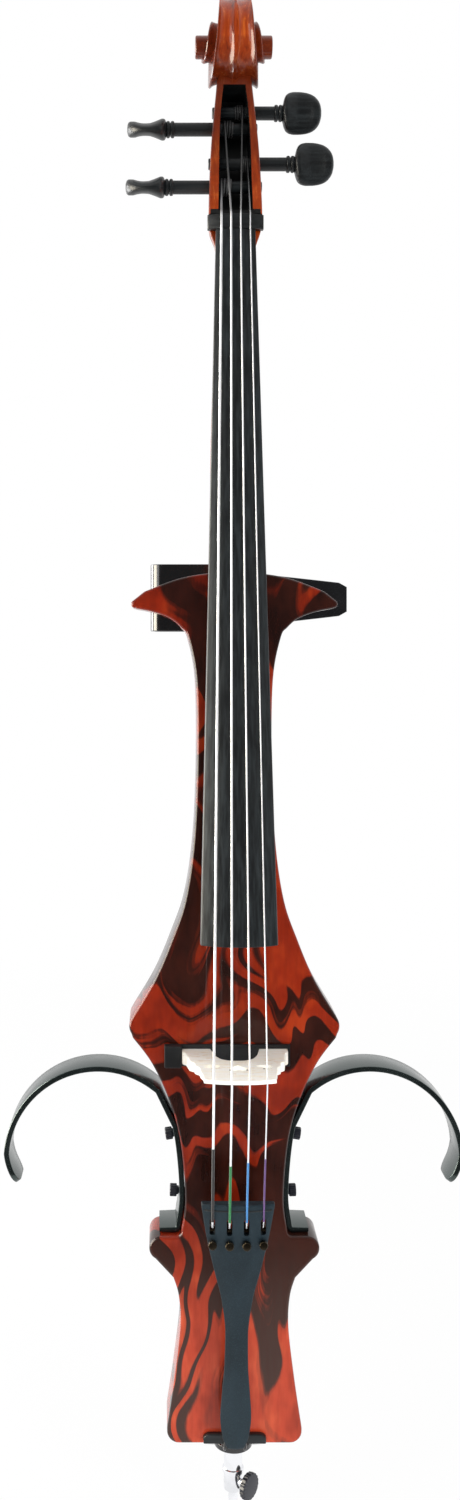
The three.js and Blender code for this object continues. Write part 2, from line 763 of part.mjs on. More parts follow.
function tongue() {
  const section = (z) => {
    const half = boardHalf(z) - gap;
    const limit = Math.min(half, neckHeelWidth / 2);
    const top = neckTopY(z);
    const low = frontY - gap;
    return [v2(-limit, top), v2(limit, top), v2(limit, low), v2(-limit, low)];
  };
  const stations = [tongueZ, bodyTop + heelLength / 8];
  return loft(stations.map(section), (point, n) => v3(point.x, point.y, stations[n]));
}

const pegPlace = (peg) => {
  const z = pegboxZ + peg.placeShare * pegboxLength;
  return v3(0, pegboxFrontY(z) + pegDepth, z);
};

function pegboxHollow() {
  const shares = [0.03, 0.24, 0.5, 0.75, 0.9, 0.945];
  const halfShares = [0.645, 0.62, 0.595, 0.54, 0.47, 0.4];
  const rows = shares.map((share, n) => {
    const z = pegboxZ + share * pegboxLength;
    const half = (halfShares[n] * pegboxNutWidth) / 2;
    const front = pegboxFrontY(z) - overrun;
    const floor = pegboxFrontY(z) + pegboxFloor * (share > 0.9 ? 0.8 : 1);
    const round = pegboxWall / 3;
    return [v2(-half, front), v2(half, front), v2(half, floor - round), v2(half - round, floor),
      v2(round - half, floor), v2(-half, floor - round)];
  });
  return loft(rows, (point, n) => v3(point.x, point.y, pegboxZ + shares[n] * pegboxLength));
}

// The scroll's arm: its outer radius and half width every quarter turn, from the back upwards.
const scrollRadiusShares = [0.89, 1, 0.915, 0.82, 0.65, 0.51, 0.43, 0.33, 0.27];
const scrollWidthShares = [1, 1, 1.29, 1.76, 1.72, 1.62, 1.92, 2.2, 2.4];
const quarterValue = (shares, angle) => {
  const curve = new THREE.SplineCurve(shares.map((share, n) => v2(n, share)));
  return curve.getPoint(Math.min(Math.max(angle / 90, 0), shares.length - 1) / (shares.length - 1)).y;
};

function scrollArm(from, to, flute) {
  const core = eyeRadius / 2;
  const steps = Math.round((to - from) / 17);
  const angles = Array.from({ length: steps + 1 }, (_, n) => lerp(from, to, n / steps));
  const rows = angles.map((angle) => {
    const radius = scrollRadius * quarterValue(scrollRadiusShares, angle);
    const half = (scrollTopWidth / 2) * quarterValue(scrollWidthShares, angle);
    const rim = [[0.93, 0], [0.66, 0.9], [0.34, 0.9]];
    const upper = rim.map(([out, dip]) => v2(radius - flute * dip, half * out));
    const lower = [...upper].reverse().map((point) => v2(point.x, -point.y));
    return [v2(core, half), v2(radius - flute / 2, half), ...upper, v2(radius, 0), ...lower,
      v2(radius - flute / 2, -half), v2(core, -half)];
  });
  return loft(rows, (point, n) => {
    const angle = degrees(angles[n]);
    return v3(point.y, scrollY + point.x * Math.cos(angle), scrollZ + point.x * Math.sin(angle));
  });
}

function scrollEye() {
  const half = eyeSpan / 2;
  const edge = eyeRadius * 0.14;
  const profile = [[0, -half], [eyeRadius - edge, -half], [eyeRadius, edge - half],
    [eyeRadius, half - edge], [eyeRadius - edge, half], [0, half]];
  return turnTowards(turned(profile), v3(1, 0, 0)).translate(0, scrollY, scrollZ);
}

function pegHoles() {
  return Object.values(pegs).flatMap((peg) => {
    const place = pegPlace(peg);
    const wide = v3(peg.side * pegboxNutWidth, place.y, place.z);
    const far = v3(-peg.side * pegboxNutWidth, place.y, place.z);
    return [rod(place, wide, pegRadius + gap, 12), rod(far, place, pegTipRadius + gap, 12)];
  });
}

const boltHolesInNeck = bolts.map(({ x, y }) => alongY(
  x, y, frontY - boltInNeck - 2 * gap, frontY, screwShankRadius + gap, 10,
));

add('neck', cut(
  join(
    neckBlank(),
    tongue(),
    scrollArm(scrollStart, scrollTurnOver, scrollFlute),
    scrollArm(scrollTurnOver - scrollOverlap, scrollEnd, scrollFlute / 2),
    scrollEye(),
  ),
  pegboxHollow(),
  ...pegHoles(),
  ...boltHolesInNeck,
), neckVarnish);

// Nut, fingerboard and saddle

const stringX = (n, spread) => lerp(-spread, spread, n / (stringNames.length - 1)) / 2;
const nutTopY = (x) => surfaceY(nutZ) - nutRise + arch(x, fingerboardArch);

function makeNut() {
  const half = nutWidth / 2;
  const top = Array.from({ length: 9 }, (_, n) => lerp(half, -half, n / 8)).map((x) => v2(x, nutTopY(x)));
  const rows = [nutZ + gap, nutZ + nutThickness].map((z) => [
    v2(-half, neckTopY(z) - gap), v2(half, neckTopY(z) - gap), ...top,
  ]);
  return loft(rows, (point, n) => v3(point.x, point.y, nutZ + (n ? nutThickness : gap)));
}

add('nut', makeNut(), ebony);

function boardSection(z, drop, inset) {
  const half = boardHalf(z) - inset;
  const top = Array.from({ length: 11 }, (_, n) => lerp(half, -half, n / 10)).map((x) => v2(
    x, surfaceY(z) + drop + arch(x, fingerboardArch),
  ));
  const under = undersideY(z) + (drop ? overrun : 0);
  return [v2(-half, under), v2(half, under), ...top];
}

function makeFingerboard() {
  const ends = [fingerboardZ, nutZ];
  const blank = loft(ends.map((z) => boardSection(z, 0, 0)), (point, n) => v3(point.x, point.y, ends[n]));
  const scoopEnds = [fingerboardZ - overrun, tongueZ - fingerboardWall];
  const scoop = loft(
    scoopEnds.map((z) => boardSection(z, fingerboardWall, fingerboardWall)),
    (point, n) => v3(point.x, point.y, scoopEnds[n]),
  );
  return cut(blank, scoop);
}

add('fingerboard', makeFingerboard(), ebony);

function makeSaddle() {
  const half = saddleWidth / 2;
  const profile = [v2(-half, 0), v2(half, 0), v2(half, saddleHeight * 0.7), v2(half * 0.86, saddleHeight),
    v2(-half * 0.86, saddleHeight), v2(-half, saddleHeight * 0.7)];
  const place = bodyBottom + bodyEdge;
  const shape = shapeOf(profile.map((point) => v2(point.x, point.y + place)));
  return panel(shape, frontY - gap - saddleThickness, frontY - gap);
}

add('saddle', makeSaddle(), ebony);

// Pickup bar and bridge

const pickupLeft = -bridgeFootSpan / 2 - pickupBlockWidth;
const pickupRight = bridgeFootSpan / 2 + pickupOverhang;
const pickupZ = bridgeZ - bridgeFootThickness / 2 - pickupHeight / 2;
const pickupFront = frontY - gap - pickupThickness;

add('pickup_bar', join(
  block(v3(pickupLeft, pickupFront, pickupZ), v3(pickupRight, frontY - gap, pickupZ + pickupHeight)),
  block(
    v3(pickupLeft, frontY - gap - pickupBlockThickness, pickupZ),
    v3(-bridgeFootSpan / 2 - gap, frontY - gap, pickupZ + pickupHeight),
  ),
), blackPlastic);

const bridgeFootY = pickupFront - gap;
const bridgeRise = bridgeHeight - pickupThickness - 2 * gap;
const bridgeSideShares = [ // out of the half foot span, up of the bridge's height
  [1, 0], [1, 0.09], [0.93, 0.15], [0.875, 0.4], [0.79, 0.45], [0.785, 0.53], [0.7, 0.6], [0.69, 0.72],
  [0.65, 0.8],
];

const gateShares = [ // arch between the feet
  [-1, 0], [-0.86, 0.55], [-0.62, 0.88], [-0.3, 1], [0.3, 1], [0.62, 0.88], [0.86, 0.55], [1, 0],
];

function bridgeOutline() {
  const topHalf = bridgeTopWidth / 2;
  const right = bridgeSideShares.map(([out, up]) => v2((out * bridgeFootSpan) / 2, up * bridgeRise));
  const top = Array.from({ length: 9 }, (_, n) => lerp(topHalf, -topHalf, n / 8)).map((x) => v2(
    x, bridgeRise - arch(x, bridgeArch),
  ));
  const left = [...right].reverse().map((point) => v2(-point.x, point.y));
  const inner = gateShares.map(([out, up]) => v2((out * bridgeGateWidth) / 2, up * bridgeGateHeight));
  return [...right, ...top, ...left, ...inner];
}

function heartHole(height) {
  const size = bridgeGateWidth / 5;
  const shares = [
    [0, -1], [0.75, -0.1], [0.8, 0.55], [0.4, 0.8], [0, 0.45], [-0.4, 0.8], [-0.8, 0.55], [-0.75, -0.1],
  ];
  return shares.map(([x, y]) => v2(x * size, height + y * size));
}

function kidneyHole(side, height) {
  const size = bridgeGateWidth / 6;
  const shares = [[-0.9, -0.6], [0.4, -0.9], [1.1, -0.3], [0.9, 0.4], [0.1, 0.3], [-0.7, 0.1]];
  return shares.map(([x, y]) => v2(side * (bridgeTopWidth * 0.36 + x * size), height + y * size));
}

function makeBridge() {
  const shape = shapeOf(bridgeOutline());
  const holes = [heartHole(bridgeRise * 0.62), ...[-1, 1].map((side) => kidneyHole(side, bridgeRise * 0.58))];
  shape.holes.push(...holes.map((points) => new THREE.Path(points)));
  const geometry = new THREE.ExtrudeGeometry(shape, { depth: 1, bevelEnabled: false });
  const place = geometry.attributes.position;
  for (let n = 0; n < place.count; n++) {
    const up = place.getY(n);
    const thickness = lerp(bridgeFootThickness, bridgeTopThickness, up / bridgeRise);
    place.setXYZ(n, place.getX(n), bridgeFootY - up, bridgeZ - place.getZ(n) * thickness);
  }
  geometry.computeVertexNormals();
  return geometry;
}

add('bridge', makeBridge(), bridgeMaple);
const bridgeTopY = (x) => frontY - bridgeHeight + arch(x, bridgeArch);

// Tailpiece: width and height over the body along its length, from the top down

const tailTopZ = bodyBottom + tailpieceRise + tailpieceLength;
const tailWidthShares = [1, 0.855, 0.625, 0.42, 0.31, 0.325, 0.385, 0.43, 0.365, 0.235];
const tailPlaceShares = [0, 0.124, 0.268, 0.386, 0.531, 0.654, 0.768, 0.867, 0.953, 1];
const tailTopY = (z) => frontY - lerp(
  tailpieceTopHeight, tailpieceEndHeight, (tailTopZ - z) / tailpieceLength,
);
const tailSlope = (tailpieceTopHeight - tailpieceEndHeight) / tailpieceLength;
const tailWidthTable = tailPlaceShares.map((place, n) => [place, tailWidthShares[n]]);

function tailHalf(z) {
  return tailpieceTopWidth * tableValue(tailWidthTable, (tailTopZ - z) / tailpieceLength) / 2;
}

const tailEdgeY = (z) => tailTopY(z) + tailpieceCrown * (2 * tailHalf(z) / tailpieceTopWidth) ** 0.7;

// The tailpiece's crowned upper surface, and its flat underside.
function tailSurfaceY(x, z) {
  return lerp(tailTopY(z), tailEdgeY(z), Math.min(Math.abs(x) / tailHalf(z), 1) ** 2.2);
}

function tailUnderY(z) {
  const share = (tailTopZ - z) / tailpieceLength;
  return tailEdgeY(z) + tailpieceEdge * (share > 0.8 ? 0.5 : lerp(1, 0.6, share));
}

function tailSection(z) {
  const half = tailHalf(z);
  const lip = tailEdgeY(z) + gap;
  const crown = [0.92, 0.7, 0.35, 0, -0.35, -0.7, -0.92].map((out) => v2(
    out * half, tailSurfaceY(out * half, z),
  ));
  return [v2(-half, tailUnderY(z)), v2(half, tailUnderY(z)), v2(half, lip), ...crown, v2(-half, lip)];
}

const tailStringX = stringNames.map((_, n) => stringX(n, tailSpread));
const slotTopZ = tailTopZ - slotFromTop;
const slotEndZ = slotTopZ - slotLength;
const tunerZ = slotEndZ - tunerFromSlot;
const leverZ = slotEndZ + 1.75 * leverThickness;
function makeTailpiece() {
  const places = tailPlaceShares.map((share) => tailTopZ - share * tailpieceLength);
  const blank = loft(places.map(tailSection), (point, n) => v3(point.x, point.y, places[n]));
  const slots = tailStringX.map((x) => block(
    v3(x - slotWidth / 2, tailTopY(tailTopZ) - overrun, slotEndZ),
    v3(x + slotWidth / 2, frontY, slotTopZ),
  ));
  const tunerHoles = tailStringX.map((x) => alongY(
    x, tunerZ, tailTopY(tailTopZ) - overrun, frontY, tunerShankRadius + gap, 12,
  ));
  const gutHoles = [-1, 1].map((side) => alongY(
    side * gutSpread / 4, gutHoleZ, tailTopY(gutHoleZ) + tailpieceCrown / 2, frontY, gutRadius + gap, 12,
  ));
  return cut(blank, ...slots, ...tunerHoles, ...gutHoles);
}

const gutHoleZ = bodyBottom + saddleHeight + 3 * saddleThickness;
add('tailpiece', makeTailpiece(), blackComposite);

// Fine tuners: a knurled screw that presses on a lever, whose hook draws the string

function knurledHead(radius, length, lobes) {
  const outline = Array.from({ length: 2 * lobes }, (_, n) => {
    const angle = (Math.PI * n) / lobes;
    const reach = n % 2 ? radius * 0.93 : radius;
    return v2(reach * Math.cos(angle), reach * Math.sin(angle));
  });
  return new THREE.ExtrudeGeometry(shapeOf(outline), { depth: length, bevelEnabled: false });
}

// A thumbscrew about +Y with its head's outer end at Y = 0, and the shank towards +Y.
function thumbscrew({ headRadius, headLength, neckRadius, neckLength = 0, shankRadius, shankLength, lobes }) {
  const head = knurledHead(headRadius, headLength, lobes).rotateX(-Math.PI / 2);
  const parts = [head];
  if (neckLength) {
    parts.push(alongY(0, 0, headLength / 2, headLength + neckLength, neckRadius));
  }
  parts.push(alongY(0, 0, headLength / 2, headLength + neckLength + shankLength, shankRadius, 12));
  return join(...parts);
}

tailStringX.forEach((x, n) => {
  const name = stringNames[n];
  const under = tailUnderY(tunerZ);
  const highest = tailSurfaceY(Math.abs(x) - tunerHeadRadius, tunerZ) - tailSlope * tunerHeadRadius;
  const headFront = highest - gap - tunerHeadHeight;
  const screw = add(`tuner_screw_${name}`, thumbscrew({
    headRadius: tunerHeadRadius,
    headLength: tunerHeadHeight,
    shankRadius: tunerShankRadius,
    shankLength: under - headFront - tunerHeadHeight + leverThickness - gap,
    lobes: 14,
  }), darkBrass);
  screw.position.set(x, headFront, tunerZ);
  const pivotY = under + 1.5 * leverThickness;
  const hookTop = tailSurfaceY(x, leverZ) + tailpieceCrown / 2;
  const lever = add(`tuner_lever_${name}`, join(
    block(
      v3(-leverWidth / 2, -leverThickness / 2, tunerZ - leverZ - leverThickness),
      v3(leverWidth / 2, leverThickness / 2, leverThickness),
    ),
    block(
      v3(-leverWidth / 2, hookTop - pivotY, -leverThickness / 2),
      v3(leverWidth / 2, leverThickness / 2, leverThickness / 2),
    ),
  ), darkBrass);
  lever.position.set(x, pivotY, leverZ);
});

// Endpin: flange with a neck, socket, rod, rubber foot and the screw that clamps the rod

const flangeTop = bodyBottom - gap;
const flangePlateZ = flangeTop - flangeNeckHeight - flangePlate;
const socketBottom = flangePlateZ - socketShown;
const clampZ = socketBottom + socketRadius;
const clampDirection = v3(Math.sin(degrees(clampAngle)), -Math.cos(degrees(clampAngle)), 0);

function makeFlange() {
  const outline = roundedRectangle(flangeWidth, flangeDepth, flangeDepth / 2 - gap);
  const plate = new THREE.ExtrudeGeometry(outline, {
    depth: flangePlate, bevelEnabled: false, curveSegments: 7,
  });
  const neck = rod(v3(0, 0, flangePlateZ + gap), v3(0, 0, flangeTop), flangeNeckRadius, 20);
  const bore = rod(
    v3(0, 0, flangePlateZ - overrun), v3(0, 0, flangeTop + overrun), socketRadius + gap, 20,
  );
  return cut(join(plate.translate(0, 0, flangePlateZ), neck), bore);
}

function makeSocket() {
  const top = bodyBottom + socketInside;
  const ring = lerp(socketBottom, flangePlateZ, 0.38);
  const profile = [
    [rodRadius + gap, socketBottom], [socketRadius - socketEdge, socketBottom],
    [socketRadius, socketBottom + socketEdge], [socketRadius, ring],
    [socketRingRadius, ring + socketEdge / 2], [socketRingRadius, ring + socketRingHeight - socketEdge / 2],
    [socketRadius, ring + socketRingHeight], [socketRadius, top], [rodRadius + gap, top],
    [rodRadius + gap, socketBottom],
  ];
  const tubeBody = turned(profile, 20).rotateX(Math.PI / 2);
  const clampHole = rod(
    v3(0, 0, clampZ), clampDirection.clone().multiplyScalar(3 * socketRadius).setZ(clampZ),
    screwShankRadius + gap, 12,
  );
  return cut(tubeBody, clampHole);
}

function makeFoot() {
  const profile = [
    [0, 0], [footTipRadius, 0], [footRadius * 0.8, footHeight * 0.3], [footRadius, footHeight * 0.62],
    [footRadius, footHeight * 0.9], [footRadius * 0.86, footHeight], [rodRadius + gap, footHeight],
    [rodRadius + gap, footHeight - footSocketDepth], [0, footHeight - footSocketDepth],
  ];
  return turned(profile, 18).rotateX(Math.PI / 2);
}

add('endpin_flange', makeFlange(), chrome);
add('endpin_socket', makeSocket(), chrome);
add('endpin_foot', makeFoot(), rubber);
const rodBottom = footHeight - footSocketDepth + gap;
add('endpin_rod', rod(v3(0, 0, rodBottom), v3(0, 0, rodBottom + rodLength), rodRadius, 18), chrome);

const clampShank = socketRadius - rodRadius;
const clampReach = rodRadius + gap + clampShank + clampNeck + clampHeadLength;
const clamp = add('endpin_thumbscrew', thumbscrew({
  headRadius: clampHeadRadius,
  headLength: clampHeadLength,
  neckRadius: screwNeckRadius,
  neckLength: clampNeck,
  shankRadius: screwShankRadius,
  shankLength: clampShank,
  lobes: 18,
}).translate(0, -clampReach, 0), blackSteel);
clamp.position.set(0, 0, clampZ);
clamp.rotation.set(0, 0, degrees(clampAngle));

// Knee rests and their thumbscrews

for (const [side, label] of [[-1, 'left'], [1, 'right']]) {
  const outline = stripOutline(kneePath(), kneeThickness).map((point) => v2(side * point.x, point.y));
  const strip = panel(shapeOf(outline), kneeFront, kneeFront + kneeDepth);
  const holes = kneeScrewHeights.map((height) => kneeScrewHole(height, side));
  add(`knee_rest_${label}`, cut(strip, ...holes), blackSteel);
  kneeScrewHeights.forEach((height, n) => {
    const { seat, out } = kneeScrewPlace(height, side);
    const screw = add(`knee_screw_${label}_${n ? 'upper' : 'lower'}`, thumbscrew({
      headRadius: screwHeadRadius,
      headLength: screwHeadLength,
      neckRadius: screwNeckRadius,
      neckLength: screwNeckLength,
      shankRadius: screwShankRadius,
      shankLength: kneeThickness + 2 * gap + screwInBody,
      lobes: 12,
    }).translate(0, -screwHeadLength - screwNeckLength, 0), blackSteel);
    screw.position.copy(seat.addScaledVector(out, kneeThickness + 2 * gap));
    screw.quaternion.setFromUnitVectors(v3(0, 1, 0), out.clone().negate());
  });
}

// Chest rest: a strip bent back on itself, cut to its tapering outline

function chestPath() {
  const front = backY + gap + chestThickness / 2;
  const left = -chestLeft + chestThickness / 2;
  const back = front + chestDepth;
  const frontBend = arcPoints(v2(left + chestBend, front + chestBend), chestBend, 270, 180, 6);
  const backBend = arcPoints(v2(left + chestBend, back - chestBend), chestBend, 180, 90, 6);
  const rear = [0.25, 0.5, 0.75, 1].map((share) => v2(
    lerp(left + chestBend, chestRight, share), back + chestThickness * (1 - (2 * share - 1) ** 2),
  ));
  return [v2(chestFrontEnd, front), ...frontBend, ...backBend, ...rear];
}

function makeChestRest() {
  const outline = stripOutline(chestPath(), chestThickness);
  const strip = new THREE.ExtrudeGeometry(shapeOf(outline), { depth: chestHeight, bevelEnabled: false });
  strip.translate(0, 0, chestZ - chestHeight / 2);
  const taper = new THREE.Shape();
  const half = chestHeight / 2;
  const endHalf = chestEndHeight / 2;
  const taperStart = -chestLeft / 2;
  taper.moveTo(-chestLeft - overrun, chestZ - half - overrun);
  taper.lineTo(taperStart, chestZ - half - overrun);
  taper.lineTo(taperStart, chestZ - half);
  const taperMiddle = lerp(taperStart, chestRight, 0.4);
  taper.quadraticCurveTo(
    taperMiddle, chestZ - half + chestCorner, chestRight - chestCorner, chestZ - endHalf,
  );
  taper.quadraticCurveTo(chestRight, chestZ - endHalf, chestRight, chestZ - endHalf + chestCorner);
  taper.lineTo(chestRight, chestZ + endHalf - chestCorner);
  taper.quadraticCurveTo(chestRight, chestZ + endHalf, chestRight - chestCorner, chestZ + endHalf);
  taper.quadraticCurveTo(taperMiddle, chestZ + half - chestCorner, taperStart, chestZ + half);
  taper.lineTo(taperStart, chestZ + half + overrun);
  taper.lineTo(-chestLeft - overrun, chestZ + half + overrun);
  const limit = panel(taper, backY - overrun, backY + chestDepth + 5 * chestThickness);
  const holes = chestScrews.map(({ x, y }) => alongY(
    x, y, backY - overrun, backY + chestDepth / 2, screwShankRadius + gap, 14,
  ));
  return cut(keepInside(strip, limit), ...holes);
}

add('chest_rest', makeChestRest(), blackSteel);

// A plain screw about Y: its head's outer end at Y = 0 and the shank towards -Y.
function screwGeometry(headRadius, headLength, shankRadius, shankLength) {
  const profile = [[0, 0], [headRadius * 0.9, 0], [headRadius, -headLength * 0.25], [headRadius, -headLength],
    [shankRadius, -headLength], [shankRadius, -headLength - shankLength], [0, -headLength - shankLength]];
  return turned([...profile].reverse(), 10);
}

chestScrews.forEach(({ x, y }, n) => {
  const screw = add(`chest_screw_${n + 1}`, screwGeometry(
    boltHeadRadius, boltHeadLength * 0.6, screwShankRadius, chestScrewInBody + chestThickness,
  ), blackSteel);
  screw.position.set(x, backY + chestThickness + 2 * gap + boltHeadLength * 0.6, y);
});

bolts.forEach(({ x, y }, n) => {
  const bolt = add(`neck_bolt_${n + 1}`, screwGeometry(
    boltHeadRadius, boltHeadLength, screwShankRadius, bodyThickness - boltHeadLength + boltInNeck,
  ), chrome);
  bolt.position.set(x, backY, y);
});

// Control plate with the battery door, knobs, switch and jack

const doorWidth = batteryPocketWidth + 2 * doorMargin;
const doorHeight = batteryPocketHeight + 2 * doorMargin;

function makePlate() {
  const blank = panel(
    roundedRectangle(plateWidth, plateHeight, cavityCorner, v2(0, cavityZ)), plateFront, plateBack,
  );
  const through = (x, z, radius) => alongY(x, z, plateFront - overrun, plateBack + overrun, radius, 10);
  const window = panel(
    roundedRectangle(
      batteryPocketWidth - 2 * gap, batteryPocketHeight - 2 * gap, batteryCorner, v2(batteryX, cavityZ),
    ),
    plateFront - overrun, plateBack + overrun,
  );
  const slot = block(
    v3(switchX - switchLever, plateFront - overrun, switchZ - switchLever / 2 - gap),
    v3(switchX + switchTravel + switchLever, plateBack + overrun, switchZ + switchLever / 2 + gap),
  );
  return cut(
    blank, window, slot,
    ...Object.values(knobPlaces).map((z) => through(knobX, z, potBushRadius + gap)),
    through(jackX, jackZ, jackRadius + gap),
    ...corners.map(([x, z]) => through(x * plateScrewX, cavityZ + z * plateScrewZ, plateScrewRadius + gap)),
  );
}

add('control_plate', makePlate(), blackPlastic);

corners.forEach(([x, z], n) => {
  const screw = add(`plate_screw_${n + 1}`, screwGeometry(
    plateScrewHead, plateScrewRadius, plateScrewRadius, plateScrewLength + plateThickness,
  ), chrome);
  screw.position.set(x * plateScrewX, plateBack + gap + plateScrewRadius, cavityZ + z * plateScrewZ);
});

const doorZ = cavityZ - doorHeight / 2;
const door = add('battery_door', join(
  panel(
    roundedRectangle(doorWidth, doorHeight, doorMargin, v2(0, doorHeight / 2)), 0, doorThickness,
  ),
  block(
    v3(-doorWidth / 6, doorThickness - gap, doorHeight - doorMargin * 2),
    v3(doorWidth / 6, doorThickness * 1.6, doorHeight - doorMargin),
  ),
), blackPlastic);
door.position.set(batteryX, plateBack + gap, doorZ);

const batteryFloorY = backY - batteryPocketDepth;
const batteryBottom = cavityZ - batteryPocketHeight / 2 + gap;
const battery = add(
  'battery', new THREE.BoxGeometry(batteryWidth, batteryThickness, batteryHeight), cellSteel,
);
battery.position.set(
  batteryX, batteryFloorY + gap + batteryThickness / 2, batteryBottom + batteryHeight / 2,
);
const clip = add('battery_clip', new THREE.BoxGeometry(
  batteryWidth - 4 * gap, batteryThickness - 4 * gap, clipHeight,
), blackPlastic);
clip.position.set(
  batteryX, batteryFloorY + gap + batteryThickness / 2, batteryBottom + batteryHeight + gap + clipHeight / 2,
);

function makeBoard() {
  const floorY = backY - cavityDepth + gap;
  const x = mainPocketX;
  const half = { x: mainPocketWidth / 2 - cavityCorner, z: cavityHeight / 2 - cavityCorner };
  const level = floorY + boardFoot;
  const feet = corners.map(([sx, sz]) => alongY(
    x + sx * (half.x - boardFoot), cavityZ + sz * (half.z - boardFoot),
    floorY, level + boardThickness / 2, boardFoot / 2, 10,
  ));
  const chipShares = [[-0.55, 0.3, 0.3, 0.22], [0.1, -0.45, 0.22, 0.3], [-0.6, -0.5, 0.16, 0.16]];
  const chips = chipShares.map(([cx, cz, w, h]) => block(
    v3(x + (cx - w) * half.x, level + boardThickness / 2, cavityZ + (cz - h) * half.z),
    v3(x + (cx + w) * half.x, level + boardThickness + boardFoot, cavityZ + (cz + h) * half.z),
  ));
  const plate = block(
    v3(x - half.x, level, cavityZ - half.z), v3(x + half.x, level + boardThickness, cavityZ + half.z),
  );
  return join(plate, ...feet, ...chips);
}

add('preamp_board', makeBoard(), board);

for (const [name, z] of Object.entries(knobPlaces)) {
  const shaftEnd = plateBack + knobLength * 0.7;
  const pot = turned([
    [0, plateFront - 2 * gap - potLength], [potRadius, plateFront - 2 * gap - potLength],
    [potRadius, plateFront - gap], [potBushRadius, plateFront - gap], [potBushRadius, plateBack + gap],
    [potShaftRadius, plateBack + gap], [potShaftRadius, shaftEnd], [0, shaftEnd],
  ]);
  add(`${name}_pot`, pot, cellSteel).position.set(knobX, 0, z);
  const outer = knurledHead(knobRadius, knobLength, 16).rotateX(-Math.PI / 2);
  const bore = alongY(0, 0, -overrun, shaftEnd - plateBack - gap, potShaftRadius + gap, 16);
  const knob = add(`${name}_knob`, cut(outer, bore), blackPlastic);
  knob.position.set(knobX, plateBack + 2 * gap, z);
}

const switchBody = add('switch_body', new THREE.BoxGeometry(
  2 * switchTravel + 3 * switchLever, switchBodyDepth, 2 * switchLever,
), blackPlastic);
switchBody.position.set(switchX + switchTravel / 2, plateFront - gap - switchBodyDepth / 2, switchZ);
const lever = add('power_switch', new THREE.BoxGeometry(
  switchLever, plateThickness + switchLever, switchLever,
), blackPlastic);
lever.position.set(switchX, plateFront + (plateThickness + switchLever) / 2, switchZ);

const jackProfile = [
  [jackBore, plateFront - jackLength], [jackRadius, plateFront - jackLength], [jackRadius, plateBack + gap],
  [jackFlangeRadius, plateBack + gap], [jackFlangeRadius, plateBack + jackFlange],
  [jackBore, plateBack + jackFlange], [jackBore, plateFront - jackLength],
];
add('output_jack', turned(jackProfile, 18), chrome).position.set(jackX, 0, jackZ);

// Pegs, each turned about X with the thin end in the far wall

const pegHeadShares = [ // length, height and thickness along the head
  [0, 0.44, 0.84], [0.05, 0.78, 1], [0.18, 0.96, 0.86], [0.42, 1, 0.58], [0.66, 0.93, 0.6],
  [0.85, 0.76, 0.8], [0.96, 0.46, 0.7], [1, 0.2, 0.3],
];

function makePeg(peg) {
  const sides = 12;
  const place = pegPlace(peg);
  const boxHalf = boxHalfAt(peg.placeShare);
  const inner = boxHalf - pegboxWall;
  const rows = pegHeadShares.map(([, height, thickness]) => Array.from({ length: sides }, (_, n) => {
    const angle = (2 * Math.PI * n) / sides;
    return v2(
      (pegHeadThickness / 2) * thickness * Math.cos(angle),
      (pegHeadHeight / 2) * height * Math.sin(angle),
    );
  }));
  const head = loft(rows, (point, n) => v3(
    peg.headStart + pegHeadShares[n][0] * pegHeadLength, point.x, point.y,
  ));
  const ring = (from) => [
    [pegRadius, from], [pegRingRadius, from + pegRingEdge],
    [pegRingRadius, from + pegRingWidth - pegRingEdge], [pegRadius, from + pegRingWidth],
  ];
  const shaftEnd = peg.headStart + pegRingWidth / 2;
  const shaft = turned([
    [0, -boxHalf - pegTip], [pegTipRadius, -boxHalf - pegTip], [pegTipRadius, -inner],
    [pegBodyRadius, -inner + pegRingEdge], [pegBodyRadius, inner - pegRingEdge], [pegRadius, inner],
    ...ring(peg.headStart - 2.5 * pegRingWidth), ...ring(peg.headStart - 1.25 * pegRingWidth),
    [pegRadius, shaftEnd], [0, shaftEnd],
  ], sides);
  const geometry = join(turnTowards(shaft, v3(1, 0, 0)), head).rotateX(degrees(peg.turn));
  if (peg.side < 0) {
    geometry.rotateZ(Math.PI);
  }
  return { geometry, place };
}

for (const [name, peg] of Object.entries(pegs)) {
  const { geometry, place } = makePeg(peg);
  add(`peg_${name}`, geometry, ebony).position.copy(place);
}

// Strings: three turns round the peg, then over the nut and the bridge to the tailpiece

